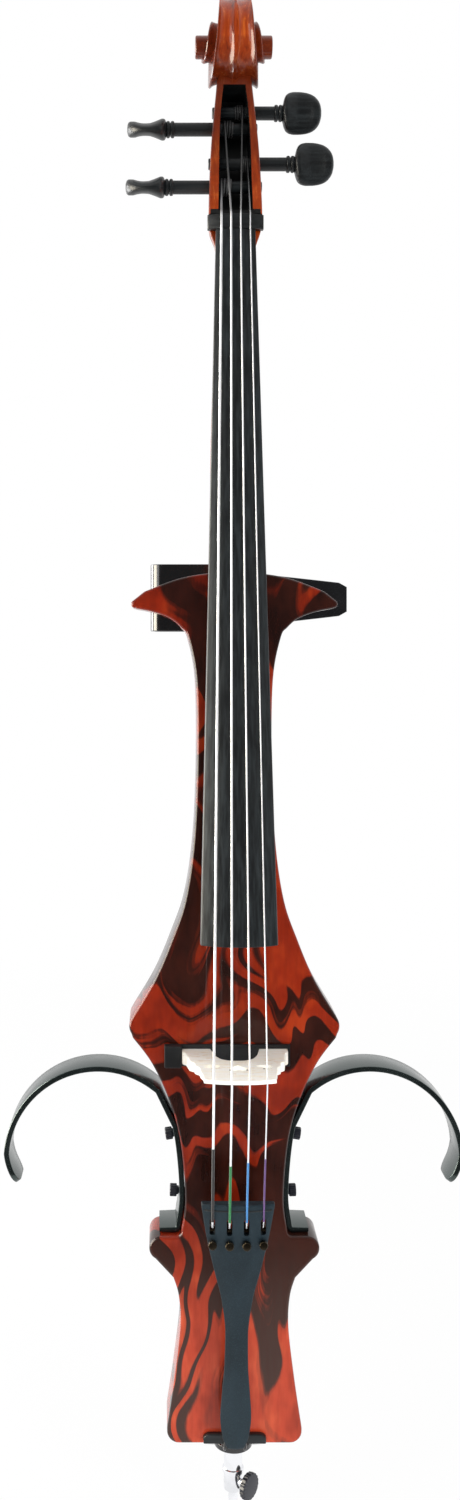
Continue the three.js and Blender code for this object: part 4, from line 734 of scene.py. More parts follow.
def marbled_varnish():
    """Red-orange gloss with dark combed marbling: zigzags at the middle, long tongues below and above it. Towards the
    bottom the ground is painted lighter and the marbling greyer, as painted light and a painted floor reflection.
    """
    f = Finish("marbled_varnish", coat_weight=0.3, coat_roughness=0.03, specular_ior_level=0.16)
    x, y, z = f.axes()
    sway = f.swing(f.noise((12, 9, 13), 1.0, 0.4, (3, 1, 7)), 0.09)
    swayed = f.add("CombineXYZ", {0: f.math("ADD", x, sway), 1: y, 2: z}).outputs[0]
    comb = f.math("SUBTRACT", f.noise((31, 8, 2.6), 0.6, 0.35, (5.42, 0.3, 12.2), swayed), 0.5)
    reach = f.ramp(z, (0.12, 0.34), (0.25, 0.3), (0.335, 0.17), (0.52, 0.15), (0.62, 0.13), (0.85, 0.06))
    rise = f.ramp(z, (0.09, 0.0), (0.3, 0.075), (0.52, 0.31), (0.9, 0.42))
    flow = f.math("ADD", rise, f.math("MULTIPLY", comb, reach))
    at = f.add("CombineXYZ", {0: x, 1: y, 2: flow}).outputs[0]
    figure = f.noise((7, 5, 34), 0.9, 0.4, (7.18, 4.0, 10.74), at)
    figure = f.math("ADD", figure, f.ramp(z, (0.1, 0.0), (0.27, 0.0), (0.34, 0.034), (0.55, 0.03), (0.8, 0.035)))
    fine = f.noise((14, 8, 120), 2.0, 0.5, (6, 2, 4), at)
    streaks = f.noise((260, 260, 34), 3.0, 0.6)
    clouds = f.noise((40, 22, 24), 2.5, 0.55, (5, 5, 5))
    ground = f.ramp(clouds, (0.3, (114, 27, 7)), (0.5, (136, 35, 10)), (0.7, (160, 50, 16)))
    dark = f.ramp(clouds, (0.3, (30, 12, 8)), (0.7, (54, 22, 14)))
    # Painted light: towards the bottom of the body the ground turns to these lighter colours and the dark marbling to a
    # greyer tone, a painted pool of light and a painted reflection of the floor
    painted_lit_ground = f.ramp(clouds, (0.3, (148, 50, 30)), (0.5, (174, 62, 38)), (0.7, (192, 78, 48)))
    low = f.ramp(z, (0.19, 1.0), (0.31, 0.0))
    ground, dark = f.mix(low, ground, painted_lit_ground), f.mix(low, dark, (62, 42, 36))
    edge = figure
    for part, size in ((streaks, 0.05), (fine, 0.3), (clouds, 0.06)):
        edge = f.math("ADD", edge, f.swing(part, size))
    share = f.ramp(edge, (0.463, 0.0), (0.498, 0.3), (0.518, 0.78), (0.548, 1.0))
    base = f.mix(share, ground, dark)
    base = f.over(base, (64, 20, 10), streaks, 0.35, 0.75, 0.2)
    return f.done(base, f.noise((60, 60, 60), 3.0), (0.2, 0.27), f.noise((420, 420, 120), 2.0), 0.05, 0.15)


def neck_varnish():
    """Red-brown gloss over maple, worn lighter in long streaks, with a faint cross figure; painted shade darkens the
    upper pegbox under the scroll's chin and the scroll's sides.
    """
    f = Finish("maple_varnish", coat_weight=0.45, coat_roughness=0.04, specular_ior_level=0.2)
    grain = f.noise((240, 240, 9), 4.0, 0.6)
    figure = f.noise((16, 16, 95), 2.0, 0.5, (2, 4, 1), distortion=0.6)
    patches = f.noise((34, 34, 16), 2.0, 0.5, (8, 1, 3))
    base = f.ramp(grain, (0.28, (116, 36, 6)), (0.5, (166, 60, 12)), (0.74, (208, 98, 30)))
    base = f.over(base, (88, 24, 9), patches, 0.42, 0.66, 0.5)
    x, _, z = f.axes()
    high = f.math("SUBTRACT", z, 1.0)
    # Painted shade: the upper pegbox darkens towards the scroll's chin, darkest in the throat under it, and the scroll
    # darkens a little towards its top
    shade = f.ramp(high, (0.12, 0.0), (0.17, 0.2), (0.21, 0.6), (0.256, 0.8), (0.272, 0.0), (0.326, 0.2))
    # Painted shade on the scroll's sides, outside its middle width
    scroll_side_shade = f.math("MULTIPLY", f.ramp(f.math("ABSOLUTE", x), (0.0125, 0.0), (0.016, 0.7)),
                  f.ramp(high, (0.25, 0.0), (0.262, 1.0)))
    base = f.mix(f.math("MAXIMUM", shade, scroll_side_shade), base, (66, 20, 8))
    base = f.over(base, (112, 40, 13), figure, 0.38, 0.62, 0.3)
    return f.done(base, grain, (0.22, 0.28), grain, 0.05, 0.12)


def ebony(name, scale, light=1.0):
    """Satin black wood whose pores run along its grain."""
    f = Finish(name, specular_ior_level=0.42)
    grain = f.noise(scale, 4.0, 0.62)
    cloud = f.noise(tuple(s / 9 for s in scale), 2.0, 0.5, (3, 3, 3))
    low, high = (15 * light, 18 * light, 20 * light), (34 * light, 39 * light, 41 * light)
    base = f.ramp(grain, (0.35, low), (0.7, high))
    base = f.over(base, (26, 25, 24), cloud, 0.35, 0.7, 0.4)
    return f.done(base, grain, (0.34, 0.46), grain, 0.16, 0.08)


def bridge_maple():
    """Pale, bare maple with short flecks across the grain; the feet's outer ends are brown, partly end grain and partly
    painted shade on the toes.
    """
    f = Finish("bare_maple")
    fleck = f.noise((120, 420, 1400), 2.0, 0.5)
    grain = f.noise((26, 300, 300), 3.0, 0.5, (1, 2, 3))
    base = f.ramp(grain, (0.3, (255, 250, 234)), (0.7, (255, 255, 250)))
    base = f.over(base, (222, 186, 130), fleck, 0.6, 0.68, 0.4)
    # Brown outer ends of the feet: partly end grain, partly painted shade on the toes
    out = f.math("ABSOLUTE", f.axes()[0])
    base = f.over(base, (176, 106, 44), out, 0.042, 0.05, 0.75)
    return f.done(base, grain, (0.42, 0.55), grain, 0.1, 0.08)


def composite():
    """Matt, dark slate of a moulded composite, with a fine speckle."""
    f = Finish("slate_composite", specular_ior_level=0.22)
    speckle = f.noise((1500, 1500, 1500), 2.0, 0.6)
    cloud = f.noise((30, 30, 14), 3.0, 0.5)
    base = f.ramp(cloud, (0.3, (20, 31, 37)), (0.7, (30, 43, 50)))
    base = f.over(base, (54, 69, 77), speckle, 0.45, 0.72, 0.35)
    return f.done(base, cloud, (0.46, 0.56), speckle, 0.14, 0.05)


def paint(name, tone, roughness, waves=900.0, grit=0.05, coat=0.3, level=0.5, tint=(1, 1, 1, 1)):
    """Painted or moulded black with a slight texture."""
    f = Finish(name, coat_weight=coat, coat_roughness=0.08, specular_ior_level=level, specular_tint=tint)
    cloud = f.noise((45, 45, 45), 3.0, 0.55)
    lift = tuple(t + 10 for t in tone)
    base = f.ramp(cloud, (0.35, tone), (0.75, lift))
    return f.done(base, cloud, (roughness, roughness + 0.09), f.noise((waves, waves, waves), 2.0), grit, 0.06)


def metal(name, tone, roughness, contrast=16):
    """Metal with faint streaks from polishing, and a little tarnish."""
    f = Finish(name, metallic=1.0)
    streak = f.noise((260, 260, 260), 4.0, 0.6)
    cloud = f.noise((60, 60, 60), 2.0, 0.5, (4, 4, 4))
    dull = tuple(max(t - contrast, 0) for t in tone)
    base = f.ramp(cloud, (0.3, dull), (0.6, tone))
    return f.done(base, streak, (roughness, roughness + 0.1), streak, 0.03, 0.03)


def wound_string(name, tone, roughness=0.3):
    """A string's flat winding, seen as fine rings, darkened above the nut as painted shade inside the pegbox."""
    f = Finish(name, metallic=0.45)
    rings = f.waves(420.0, 0.0)
    cloud = f.noise((8, 8, 30), 2.0)
    over_nut = f.math("SUBTRACT", f.axes()[2], NUT_Z * MM)
    # Painted shade: above the nut, inside the pegbox, the wire is darkened almost to black
    pegbox_shade = f.ramp(over_nut, (0.009, 1.0), (0.016, 0.3), (0.05, 0.07), (0.12, 0.04))
    base = f.ramp(cloud, (0.3, tuple(t - 8 for t in tone)), (0.6, tone))
    f.set("Base Color", f.mix(1.0, base, pegbox_shade, "MULTIPLY"))
    f.set("Roughness", f.ramp(rings, (0.2, roughness), (0.8, roughness + 0.1)))
    return f.bump(rings, 0.06, 0.03)


def silk(name, tone):
    """Coloured thread wound round a string's end, darker between its turns as painted shade in the grooves."""
    f = Finish(name, roughness=0.7, sheen_weight=0.4)
    turns = f.waves(700.0, 0.6)
    # Painted shade: the grooves between the turns are painted darker
    shade = tuple(t * 0.55 for t in tone)
    f.set("Base Color", f.ramp(turns, (0.2, shade), (0.7, tone)))
    return f.bump(turns, 0.4, 0.08)


def rubber():
    f = Finish("rubber", specular_ior_level=0.3)
    grain = f.noise((700, 700, 700), 3.0)
    base = f.ramp(grain, (0.3, (20, 20, 21)), (0.75, (40, 40, 41)))
    return f.done(base, grain, (0.72, 0.88), grain, 0.25, 0.1)


def circuit():
    """Green solder mask with lighter tracks."""
    f = Finish("circuit_board", coat_weight=0.4)
    cells = f.add("TexVoronoi", {"Vector": f.scaled((260, 260, 260)), "Scale": 1.0},
                  distance="MANHATTAN").outputs["Distance"]
    base = f.ramp(cells, (0.3, (24, 84, 48)), (0.34, (46, 122, 70)), (0.6, (20, 70, 42)))
    return f.done(base, cells, (0.3, 0.4), cells, 0.1, 0.1)


MARBLED = marbled_varnish()
NECK = neck_varnish()
EBONY_LONG = ebony("ebony_long", (420, 420, 7), 1.3)
EBONY_DARK = ebony("ebony_dark", (420, 420, 7), 0.6)
EBONY_CROSS = ebony("ebony_cross", (9, 300, 300))
MAPLE = bridge_maple()
SLATE = composite()
GLOSS_BLACK = paint("gloss_black", (13, 14, 17), 0.16, 700.0, 0.03, 0.5)
KNEE_BLACK = paint("knee_black", (10, 14, 15), 0.15, 700.0, 0.03, 0.05, 0.95, (0.8, 1, 0.95, 1))
KNOB_BLACK = paint("screw_black", (20, 22, 32), 0.34, 1400.0, 0.08, 0.1)
PLASTIC = paint("moulded_black", (13, 15, 18), 0.42, 1800.0, 0.12, 0.0)
CHROME = metal("chrome", (248, 249, 252), 0.07)
DARK_BRASS = metal("dark_brass", (74, 66, 54), 0.24, contrast=34)
CELL = metal("cell_steel", (104, 110, 118), 0.38, contrast=22)
STEEL_STRING = wound_string("string_steel", (250, 250, 252))
PLAIN_STRING = wound_string("plain_string", (250, 250, 252), 0.26)
CORD = silk("gut_cord", (34, 34, 38))
RUBBER = rubber()
WHITE_MARK = paint("pointer_white", (222, 222, 214), 0.5, 900.0, 0.05, 0.0)
BOARD = circuit()
SILKS = {"c": silk("silk_grey", (30, 25, 28)), "g": silk("silk_green", (22, 138, 70)),
         "d": silk("silk_blue", (58, 148, 222)), "a": silk("silk_purple", (108, 66, 138))}


# Camera

scene = bpy.context.scene
scene.view_settings.view_transform = "Standard"
camera = bpy.data.objects.new("camera", bpy.data.cameras.new("camera"))
camera.data.lens = 32.28
camera.data.sensor_width = 36
camera.data.sensor_fit = "AUTO"
camera.data.shift_x = 0.0467
camera.data.shift_y = -0.0667
camera.location = (-0.0632, -1.1625, 0.7679)
camera.rotation_euler = (math.radians(90), 0, 0)
scene.collection.objects.link(camera)
scene.camera = camera


# Floor, backdrop colour and lamps

FLOOR_WHITE = 0.93


def make_floor():
    """A white floor that keeps the object's shadow; to reflections its front part is dark."""
    floor = mesh_object("floor", [(-6000, -6000, 0), (6000, -6000, 0), (6000, 6000, 0), (-6000, 6000, 0)],
                        [(0, 1, 2, 3)])
    made = bpy.data.materials.new("floor_white")
    made.use_nodes = True
    f = Nodes(made.node_tree)
    f.tree.nodes.remove(f.tree.nodes["Principled BSDF"])
    path = f.add("LightPath").outputs
    place = f.add("TexCoord").outputs["Object"]
    reach = f.add("VectorMath", {0: place}, operation="LENGTH").outputs["Value"]
    front = f.between(f.add("SeparateXYZ", {0: place}).outputs[1], -0.6, -0.3, 0.12, 1.0)
    lit = f.math("MULTIPLY", path["Is Camera Ray"], f.between(reach, 0.3, 2.2, FLOOR_WHITE, 1.0))
    matt = f.add("BsdfDiffuse", {"Color": (0.8, 0.8, 0.8, 1)}).outputs[0]
    white = f.add("Emission", {"Strength": f.either(path["Is Glossy Ray"], 1.0, front)}).outputs[0]
    seen = f.add("MixShader", {0: f.math("MAXIMUM", lit, path["Is Glossy Ray"]), 1: matt, 2: white}).outputs[0]
    f.put(seen, f.tree.nodes["Material Output"].inputs["Surface"])
    floor.data.materials.append(made)


def make_world():
    """White to the camera, darker in reflections from in front of the object, and pale light from all round."""
    world = bpy.data.worlds.new("studio")
    world.use_nodes = True
    scene.world = world
    w = Nodes(world.node_tree)
    path = w.add("LightPath").outputs
    way = w.add("SeparateXYZ", {0: w.add("TexCoord").outputs["Generated"]}).outputs
    glossy = w.either(path["Is Glossy Ray"], 0.5, w.between(way[1], -0.8, -0.15, 0.14, 1.0))
    clear = w.math("MAXIMUM", path["Is Camera Ray"], path["Is Transmission Ray"])
    background = w.tree.nodes["Background"].inputs
    w.put((1, 1, 1, 1), background["Color"])
    w.put(w.either(clear, glossy, 1.0), background["Strength"])


def lamp(name, place, target, width, height, power, seen=True, lights=True, tone=(1, 1, 1)):
    light = bpy.data.lights.new(name, "AREA")
    light.shape = "RECTANGLE"
    light.size, light.size_y = width, height
    light.energy = power
    light.color = tone
    obj = bpy.data.objects.new(name, light)
    obj.location = place
    obj.rotation_euler = (V(target) - V(place)).to_track_quat("-Z", "Y").to_euler()
    obj.visible_glossy = seen
    obj.visible_diffuse = lights
    scene.collection.objects.link(obj)


make_floor()
make_world()
lamp("key", (-1.7, -1.5, 1.5), (0, 0, 0.6), 0.8, 1.6, 12)
lamp("fill", (1.2, -1.7, 1.1), (0, 0, 0.5), 0.5, 0.9, 17, False)
lamp("low", (0.1, -0.75, 0.06), (0, 0, 0.16), 0.5, 0.2, 3.2, False)
lamp("top", (0.0, 0.3, 2.6), (0, 0, 0.9), 1.4, 1.0, 10, False)
lamp("rim", (-1.6, 0.9, 0.9), (0, 0, 0.6), 0.6, 1.6, 40)
lamp("strip", (-1.5, -0.3, 0.8), (0, 0, 0.8), 0.9, 1.7, 75, lights=False, tone=(1, 0.92, 0.76))


# Body: the outline is half of it, from the middle of the bottom to the middle of the top

WIDEST_LOW = WIDEST_HEIGHT + WIDEST_RADIUS * math.sin(math.radians(WIDEST_TURN[0]))
WIDEST_HIGH = WIDEST_HEIGHT + WIDEST_RADIUS * math.sin(math.radians(WIDEST_TURN[1]))
TIP_LOW = HORN_HEIGHT + HORN_TIP_RADIUS * math.sin(math.radians(HORN_TIP_TURN[0]))
GRIP = [V((lerp(GRIP_WAIST_WIDTH, WIDEST_WIDTH, out) / 2, lerp(LEDGE_HEIGHT, WIDEST_LOW, up))) for out, up in (
    (0.066, 0.0343), (0, 0.192), (0.092, 0.4795), (0.304, 0.682), (0.6, 0.8564), (0.935, 0.9799))]
GRIP_EDGE = catmull(GRIP, 9)
KNEE_CENTRE = (GRIP_WAIST_WIDTH / 2 + KNEE_RADIUS - KNEE_TUCK,
               lerp(LEDGE_HEIGHT, WIDEST_HEIGHT, KNEE_START_SHARE) - KNEE_RADIUS * math.sin(math.radians(KNEE_TURN[0])))


def body_outline():
    halves = BOTTOM_WIDTH / 2, LOWER_WAIST_WIDTH / 2, WAIST_WIDTH / 2
    lower = [V((lerp(halves[1], halves[0], out), LEDGE_HEIGHT * up)) for out, up in (
        (1, 0.07), (0.46, 0.309), (0.03, 0.56), (0.14, 0.71), (0.53, 0.8))]
    side = [V((lerp(halves[2], WIDEST_WIDTH / 2, out), lerp(WIDEST_HIGH, TIP_LOW, up))) for out, up in (
        (0.971, 0.0008), (0.626, 0.0963), (0.376, 0.1929), (0.176, 0.2905), (0.05, 0.4364), (0, 0.6316),
        (0.017, 0.8248))]
    horn = [V((lerp(halves[2], HORN_SPAN / 2, out), lerp(WIDEST_HIGH, TIP_LOW, up))) for out, up in (
        (0.136, 0.9275), (0.235, 0.9522), (0.4, 0.9743), (0.66, 0.9902), (0.93, 0.9989))]
    top = [V((out * HORN_SPAN / 2, lerp(HORN_HEIGHT, BODY_LENGTH, up))) for out, up in (
        (0.87, 0.4), (0.56, 0.79), (0.285, 0.965))]
    fillet = (GRIP[0].x + LEDGE_FILLET, LEDGE_HEIGHT + LEDGE_FILLET)
    right = without_repeats([
        V((0, 0)),
        *arc((halves[0] - BOTTOM_CORNER, BOTTOM_CORNER), BOTTOM_CORNER, -90, -8, 10),
        *catmull(lower, 8),
        *arc((EAR_SPAN / 2 - EAR_RADIUS, LEDGE_HEIGHT - EAR_RADIUS), EAR_RADIUS, -62, 90, 16),
        *arc(fillet, LEDGE_FILLET, 270, 200, 6),
        *GRIP_EDGE,
        *arc((WIDEST_WIDTH / 2 - WIDEST_RADIUS, WIDEST_HEIGHT), WIDEST_RADIUS, *WIDEST_TURN, 10),
        *catmull(side + horn, 7),
        *arc((HORN_SPAN / 2 - HORN_TIP_RADIUS, HORN_HEIGHT), HORN_TIP_RADIUS, *HORN_TIP_TURN, 10),
        *catmull(top + [V((0, BODY_LENGTH))], 8),
    ], 0.3)
    return [V((p.x, p.y + BODY_BOTTOM)) for p in right + mirrored(right[1:-1])]


def seat(node):
    """X and Z of a node's middle."""
    low, high = edges(node)
    return (low.x + high.x) / 2, (low.z + high.z) / 2


BOLTS = [seat(f"neck_bolt_{n}") for n in (1, 2, 3, 4)]


def knee_screws(side):
    """Name, place and way out of each thumbscrew at a side."""
    level = (KNEE_LOW.y + KNEE_HIGH.y) / 2
    return [(name, V((side * spot[0], level, spot[1])), V((side * out[0], 0, out[1])))
            for name, (spot, out) in KNEE_SCREWS.items()]


def knee_holes(side):
    return [rod(place - way * KNEE_HOLE, place + way * OVERRUN, SCREW_SHANK_RADIUS + GAP, 24)
            for _, place, way in knee_screws(side)]


def make_body():
    obj = plate("body_shell", body_outline(), FRONT, BACK, BODY_EDGE, 5)
    main = rounded_rectangle(MAIN_POCKET_WIDTH, CAVITY_HEIGHT, CAVITY_CORNER, (MAIN_POCKET_X, CAVITY_Z))
    cell = rounded_rectangle(*BATTERY_POCKET, 1, (BATTERY_X, CAVITY_Z))
    shank, back = SCREW_SHANK_RADIUS + GAP, BACK + OVERRUN
    cut(obj,
        rod((0, 0, BODY_BOTTOM - OVERRUN), (0, 0, SOCKET_HIGH.z + GAP), SOCKET_RADIUS + GAP, 40),
        rod((0, 0, BODY_BOTTOM), (0, 0, ROD_BORE_TOP), ROD_RADIUS + 2 * GAP, 32),
        prism(main, BACK - CAVITY_DEPTH, back),
        prism(cell, BACK - BATTERY_POCKET_DEPTH, back),
        *holes(BOLTS, FRONT - OVERRUN, BACK, shank),
        *holes(BOLTS, BACK - BOLT_HEAD_LENGTH - GAP, back, BOLT_HEAD_RADIUS + GAP, 36),
        *holes(PLATE_SCREWS, BACK - PLATE_SCREW_DEPTH, back, PLATE_SCREW_HOLE, 16),
        *holes(CHEST_SCREWS, BACK - SCREW_IN_BODY - GAP, back, shank),
        *knee_holes(-1), *knee_holes(1))
    dress(obj, "frame", "body_varnish", MARBLED, ["body"])


# Lines along the instrument

def board_share(z):
    return (NUT_Z - z) / BOARD_LENGTH


def surface_y(z):
    return FRONT - lerp(BOARD_NUT_HEIGHT, BOARD_END_HEIGHT, board_share(z))


def board_half(z):
    return lerp(BOARD_NUT_WIDTH, BOARD_END_WIDTH, board_share(z)) / 2


def arch(x, radius):
    return radius - math.sqrt(radius * radius - x * x)


def under_y(z):
    nut = arch(BOARD_NUT_WIDTH / 2, BOARD_ARCH) + BOARD_NUT_EDGE
    end = arch(BOARD_END_WIDTH / 2, BOARD_ARCH) + BOARD_END_EDGE
    return surface_y(z) + lerp(nut, end, board_share(z))


def neck_top_y(z):
    return under_y(z) + GAP


def pegbox_front_y(z):
    return FRONT - lerp(PEGBOX_NUT_FRONT, PEGBOX_TOP_FRONT, (z - PEGBOX_Z) / PEGBOX_LENGTH)


def box_half(share):
    shares = ((0, 0), (0.24, 0.1), (0.5, 0.3), (0.75, 0.62), (0.9, 0.85), (1, 1))
    return lerp(PEGBOX_NUT_WIDTH, PEGBOX_TOP_WIDTH, table_value(shares, share)) / 2


# Neck, pegbox and scroll

def neck_section(half, front, back, square, corner):
    """A section that is flat at the front and rounds off at the back."""
    side = lerp(front, back, 0.25)
    behind = [superellipse(angle, square, half, back - side) for angle in evenly(0, math.pi, 36)]
    first = [V((half - corner * (1 - math.sin(a)), front + corner * (1 - math.cos(a))))
             for a in evenly(0, math.pi / 2, 4)]
    return first + [V((x, side + y)) for x, y in behind] + mirrored(first)


def neck_stations():
    """Height, half width, front, back, squareness and corner of each section."""
    heel_z = BODY_TOP + GAP
    nut_half, heel_half = BOARD_NUT_WIDTH / 2 - GAP, NECK_HEEL_WIDTH / 2
    shaft_z = heel_z + HEEL_LENGTH
    rows = []
    for up, share in ((0, 1), (0.12, 0.86), (0.27, 0.56), (0.43, 0.26), (0.62, 0.08), (0.8, 0.01)):
        z = heel_z + up * HEEL_LENGTH
        rows.append((z, lerp(heel_half, board_half(shaft_z) - GAP, up), neck_top_y(z),
                     lerp(neck_top_y(z) + NECK_HEEL_DEPTH, NECK_HEEL_BACK, share), lerp(3.4, 2.3, up), 0.5))
    for z in (shaft_z, lerp(shaft_z, NUT_Z, 0.5), NUT_Z - 2.4 * NUT_THICKNESS):
        share = (z - shaft_z) / (NUT_Z - shaft_z)
        rows.append((z, lerp(board_half(shaft_z) - GAP, nut_half, share), neck_top_y(z),
                     neck_top_y(z) + lerp(NECK_HEEL_DEPTH, NECK_NUT_DEPTH, share), 2.3, 0.5))
    for down, wide, back, square in ((1.3, 0.08, 1.01, 2.5), (0.6, 0.42, 1.12, 3), (0, 0.84, 1.3, 3.4),
                                     (-1, 1, 1.56, 4)):
        z = NUT_Z - down * NUT_THICKNESS
        rows.append((z, lerp(nut_half, PEGBOX_NUT_WIDTH / 2, wide), neck_top_y(z),
                     neck_top_y(z) + NECK_NUT_DEPTH * back, square, 0.8))
    top = PEGBOX_TOP_WIDTH / 2
    for up, back, half in ((0.004, 0.97, None), (0.24, 1.09, None), (0.5, 1.09, None), (0.75, 1.04, None),
                           (0.9, 1, None), (1, 1.02, None), (1.16, 1.08, lerp(top, SCROLL_TOP_WIDTH / 2, 0.5)),
                           (1.31, 1.13, SCROLL_TOP_WIDTH / 2)):
        z = PEGBOX_Z + up * PEGBOX_LENGTH
        rows.append((z, half or box_half(up), pegbox_front_y(z), pegbox_front_y(z) + PEGBOX_DEPTH * back, 4.5, 1.4))
    return rows


def neck_blank():
    stations = neck_stations()
    places, *columns = zip(*stations)
    heights = []
    for low, high in zip(places, places[1:]):
        steps = max(1, min(8, round((high - low) / 4)))
        heights += evenly(low, high, steps)[:-1]
    rows = []
    for z in [*heights, places[-1]]:
        values = [smooth_value(places, column, z) for column in columns]
        rows.append(at_height(neck_section(*values), z))
    return loft("neck_maple", rows)


def tongue():
    rows = []
    for z in (TONGUE_Z, BODY_TOP + HEEL_LENGTH / 8):
        limit = min(board_half(z) - GAP, NECK_HEEL_WIDTH / 2)
        top, under = neck_top_y(z), FRONT - GAP
        rows.append(at_height(((-limit, top), (limit, top), (limit, under), (-limit, under)), z))
    return bevelled(loft("tongue", rows), 0.5)


def pegbox_hollow():
    places = (0.03, 0.24, 0.5, 0.75, 0.9, 0.945, 0.965, 0.99)
    halves = (0.645, 0.62, 0.595, 0.54, 0.47, 0.44, 0.43, 0.42)
    floors = (1, 1, 1, 1, 1, 0.85, 0.5, 0.06)
    rows = []
    for share in evenly(places[0], places[-1], 36):
        z = PEGBOX_Z + share * PEGBOX_LENGTH
        half = smooth_value(places, halves, share) * PEGBOX_NUT_WIDTH / 2
        floor = pegbox_front_y(z) + PEGBOX_FLOOR * smooth_value(places, floors, share)
        front = pegbox_front_y(z) - OVERRUN
        right = softened([(half, front), (half, floor), (0, floor)], 3, 5)[:-1]
        rows.append(at_height(right + mirrored(right), z))
    return loft("cut", rows)


SCROLL_RADII = (0.89, 1, 0.915, 0.82, 0.65, 0.51, 0.43, 0.33, 0.27)
SCROLL_WIDTHS = (1, 1, 1.29, 1.76, 1.72, 1.62, 1.92, 2.2, 2.4)


def quarter_value(shares, angle):
    """A share on the curve through one share for each quarter turn."""
    at = min(max(angle / 90, 0), len(shares) - 1)
    n = min(int(at), len(shares) - 2)
    return spline(shares, n, at - n)


def flute(out):
    """How deep the scroll's back is hollowed at a share of its half width: two flutes and a ridge between."""
    return max(0.0, math.sin(math.pi * min(max((out - 0.07) / 0.86, 0), 1))) ** 0.75


def scroll_arm(start, end, depth):
    outs = [-1, -0.985, -0.965, *evenly(-0.93, -0.07, 12), 0]
    outs = outs + [-out for out in outs[:-1]][::-1]
    rows = []
    for degrees in evenly(start, end, round((end - start) / 4)):
        angle = math.radians(degrees)
        radius = SCROLL_RADIUS * quarter_value(SCROLL_RADII, degrees)
        half = SCROLL_TOP_WIDTH / 2 * quarter_value(SCROLL_WIDTHS, degrees)
        ring = [(radius - depth * flute(abs(out)) - max(0, abs(out) - 0.965) / 0.035 * 0.8, half * out)
                for out in outs]
        ring += [(EYE_RADIUS / 2, half), (EYE_RADIUS / 2, -half)]
        rows.append([V((x, SCROLL_Y + r * math.cos(angle), SCROLL_Z + r * math.sin(angle))) for r, x in ring])
    return loft("arm", rows)


def peg_place(peg):
    z = PEGBOX_Z + peg[1] * PEGBOX_LENGTH
    return V((0, pegbox_front_y(z) + PEG_DEPTH, z))


def make_neck():
    obj = neck_blank()
    tools = [pegbox_hollow()]
    for peg in PEGS.values():
        place, way = peg_place(peg), V((peg[0] * PEGBOX_NUT_WIDTH, 0, 0))
        tools.append(rod(place, place + way, PEG_RADIUS + GAP, 32))
        tools.append(rod(place - way, place, PEG_TIP_RADIUS + GAP, 32))
    cut(obj, *tools)
    half = EYE_SPAN / 2
    eye_profile = softened([(0.5, -half), (EYE_RADIUS, -half), (EYE_RADIUS, half), (0.5, half)], 1.6, 4)
    eye = turned("eye", eye_profile, (0, SCROLL_Y, SCROLL_Z), (1, 0, 0), 56)
    join(obj, tongue(), scroll_arm(-24, 330, FLUTE_DEPTHS[0]), scroll_arm(318, 660, FLUTE_DEPTHS[1]), eye)
    cut(obj, *holes(BOLTS, FRONT - BOLT_IN_NECK, FRONT, SCREW_SHANK_RADIUS + GAP))
    dress(obj, "frame", "neck_varnish", NECK, ["neck"], 30)
    obj.data.materials.append(EBONY_DARK)
    for face in obj.data.polygons:
        x, y, z = face.center / MM
        share = (z - PEGBOX_Z) / PEGBOX_LENGTH
        depth = y - pegbox_front_y(z)
        if 0 < share < 0.995 and abs(x) < box_half(share) - PEGBOX_WALL / 2 and (
                0.4 < depth < PEGBOX_FLOOR + 1 or share < 0.03 and depth < PEGBOX_FLOOR):
            face.material_index = 1


# Nut, fingerboard and saddle

def string_x(n, spread):
    return lerp(-spread, spread, n / (len(STRINGS) - 1)) / 2


def nut_y(x):
    return surface_y(NUT_Z) - NUT_RISE + arch(x, BOARD_ARCH)


def make_nut():
    half = NUT_WIDTH / 2
    top = [(x, nut_y(x)) for x in evenly(half, -half, 24)]
    base = neck_top_y(NUT_Z) - GAP
    outline = softened([(-half, base), (half, base), *top], 0.8, 3, closed=True)
    obj = loft("nut_block", rounded_rows(outline, NUT_Z + GAP, NUT_Z + NUT_THICKNESS, 0.6, 3,
                                         lambda p, z: V((p.x, p.y, z))))
    for n, name in enumerate(STRINGS):
        x = string_x(n, NUT_SPREAD)
        y = nut_y(x) - STRING_LIFT - STRING_RADII[name]
        cut(obj, rod((x, y, NUT_Z - 1), (x, y + STRING_RADII[name] / 3, NUT_Z + NUT_THICKNESS + 1),
                     STRING_RADII[name] + 0.22, 16))
    dress(obj, "frame", "ebony", EBONY_CROSS, ["nut"])


def board_section(z, drop, narrow):
    half = board_half(z) - narrow
    top = [(x, surface_y(z) + drop + arch(x, BOARD_ARCH)) for x in evenly(half, -half, 28)]
    under = under_y(z) + (OVERRUN if drop else 0)
    return [(-half, under), (half, under)] + top


def make_fingerboard():
    rows = []
    for z, narrow in [(BOARD_BOTTOM, 0.7), (BOARD_BOTTOM + 0.25, 0.2)] + [
            (z, 0) for z in evenly(BOARD_BOTTOM + 0.8, NUT_Z, 12)]:
        outline = softened(board_section(z, 0, narrow), 0.9, 3, closed=True)
        rows.append(at_height([(p.x, p.y + narrow * (0.8 if p.y < under_y(z) - 2 else -0.8)) for p in outline], z))
    obj = loft("fingerboard_blank", rows)
    ends = (BOARD_BOTTOM - OVERRUN, TONGUE_Z - BOARD_WALL)
    cut(obj, loft("cut", [at_height(board_section(z, BOARD_WALL, BOARD_WALL), z) for z in ends]))
    dress(obj, "frame", "ebony", EBONY_LONG, ["fingerboard"], 26)


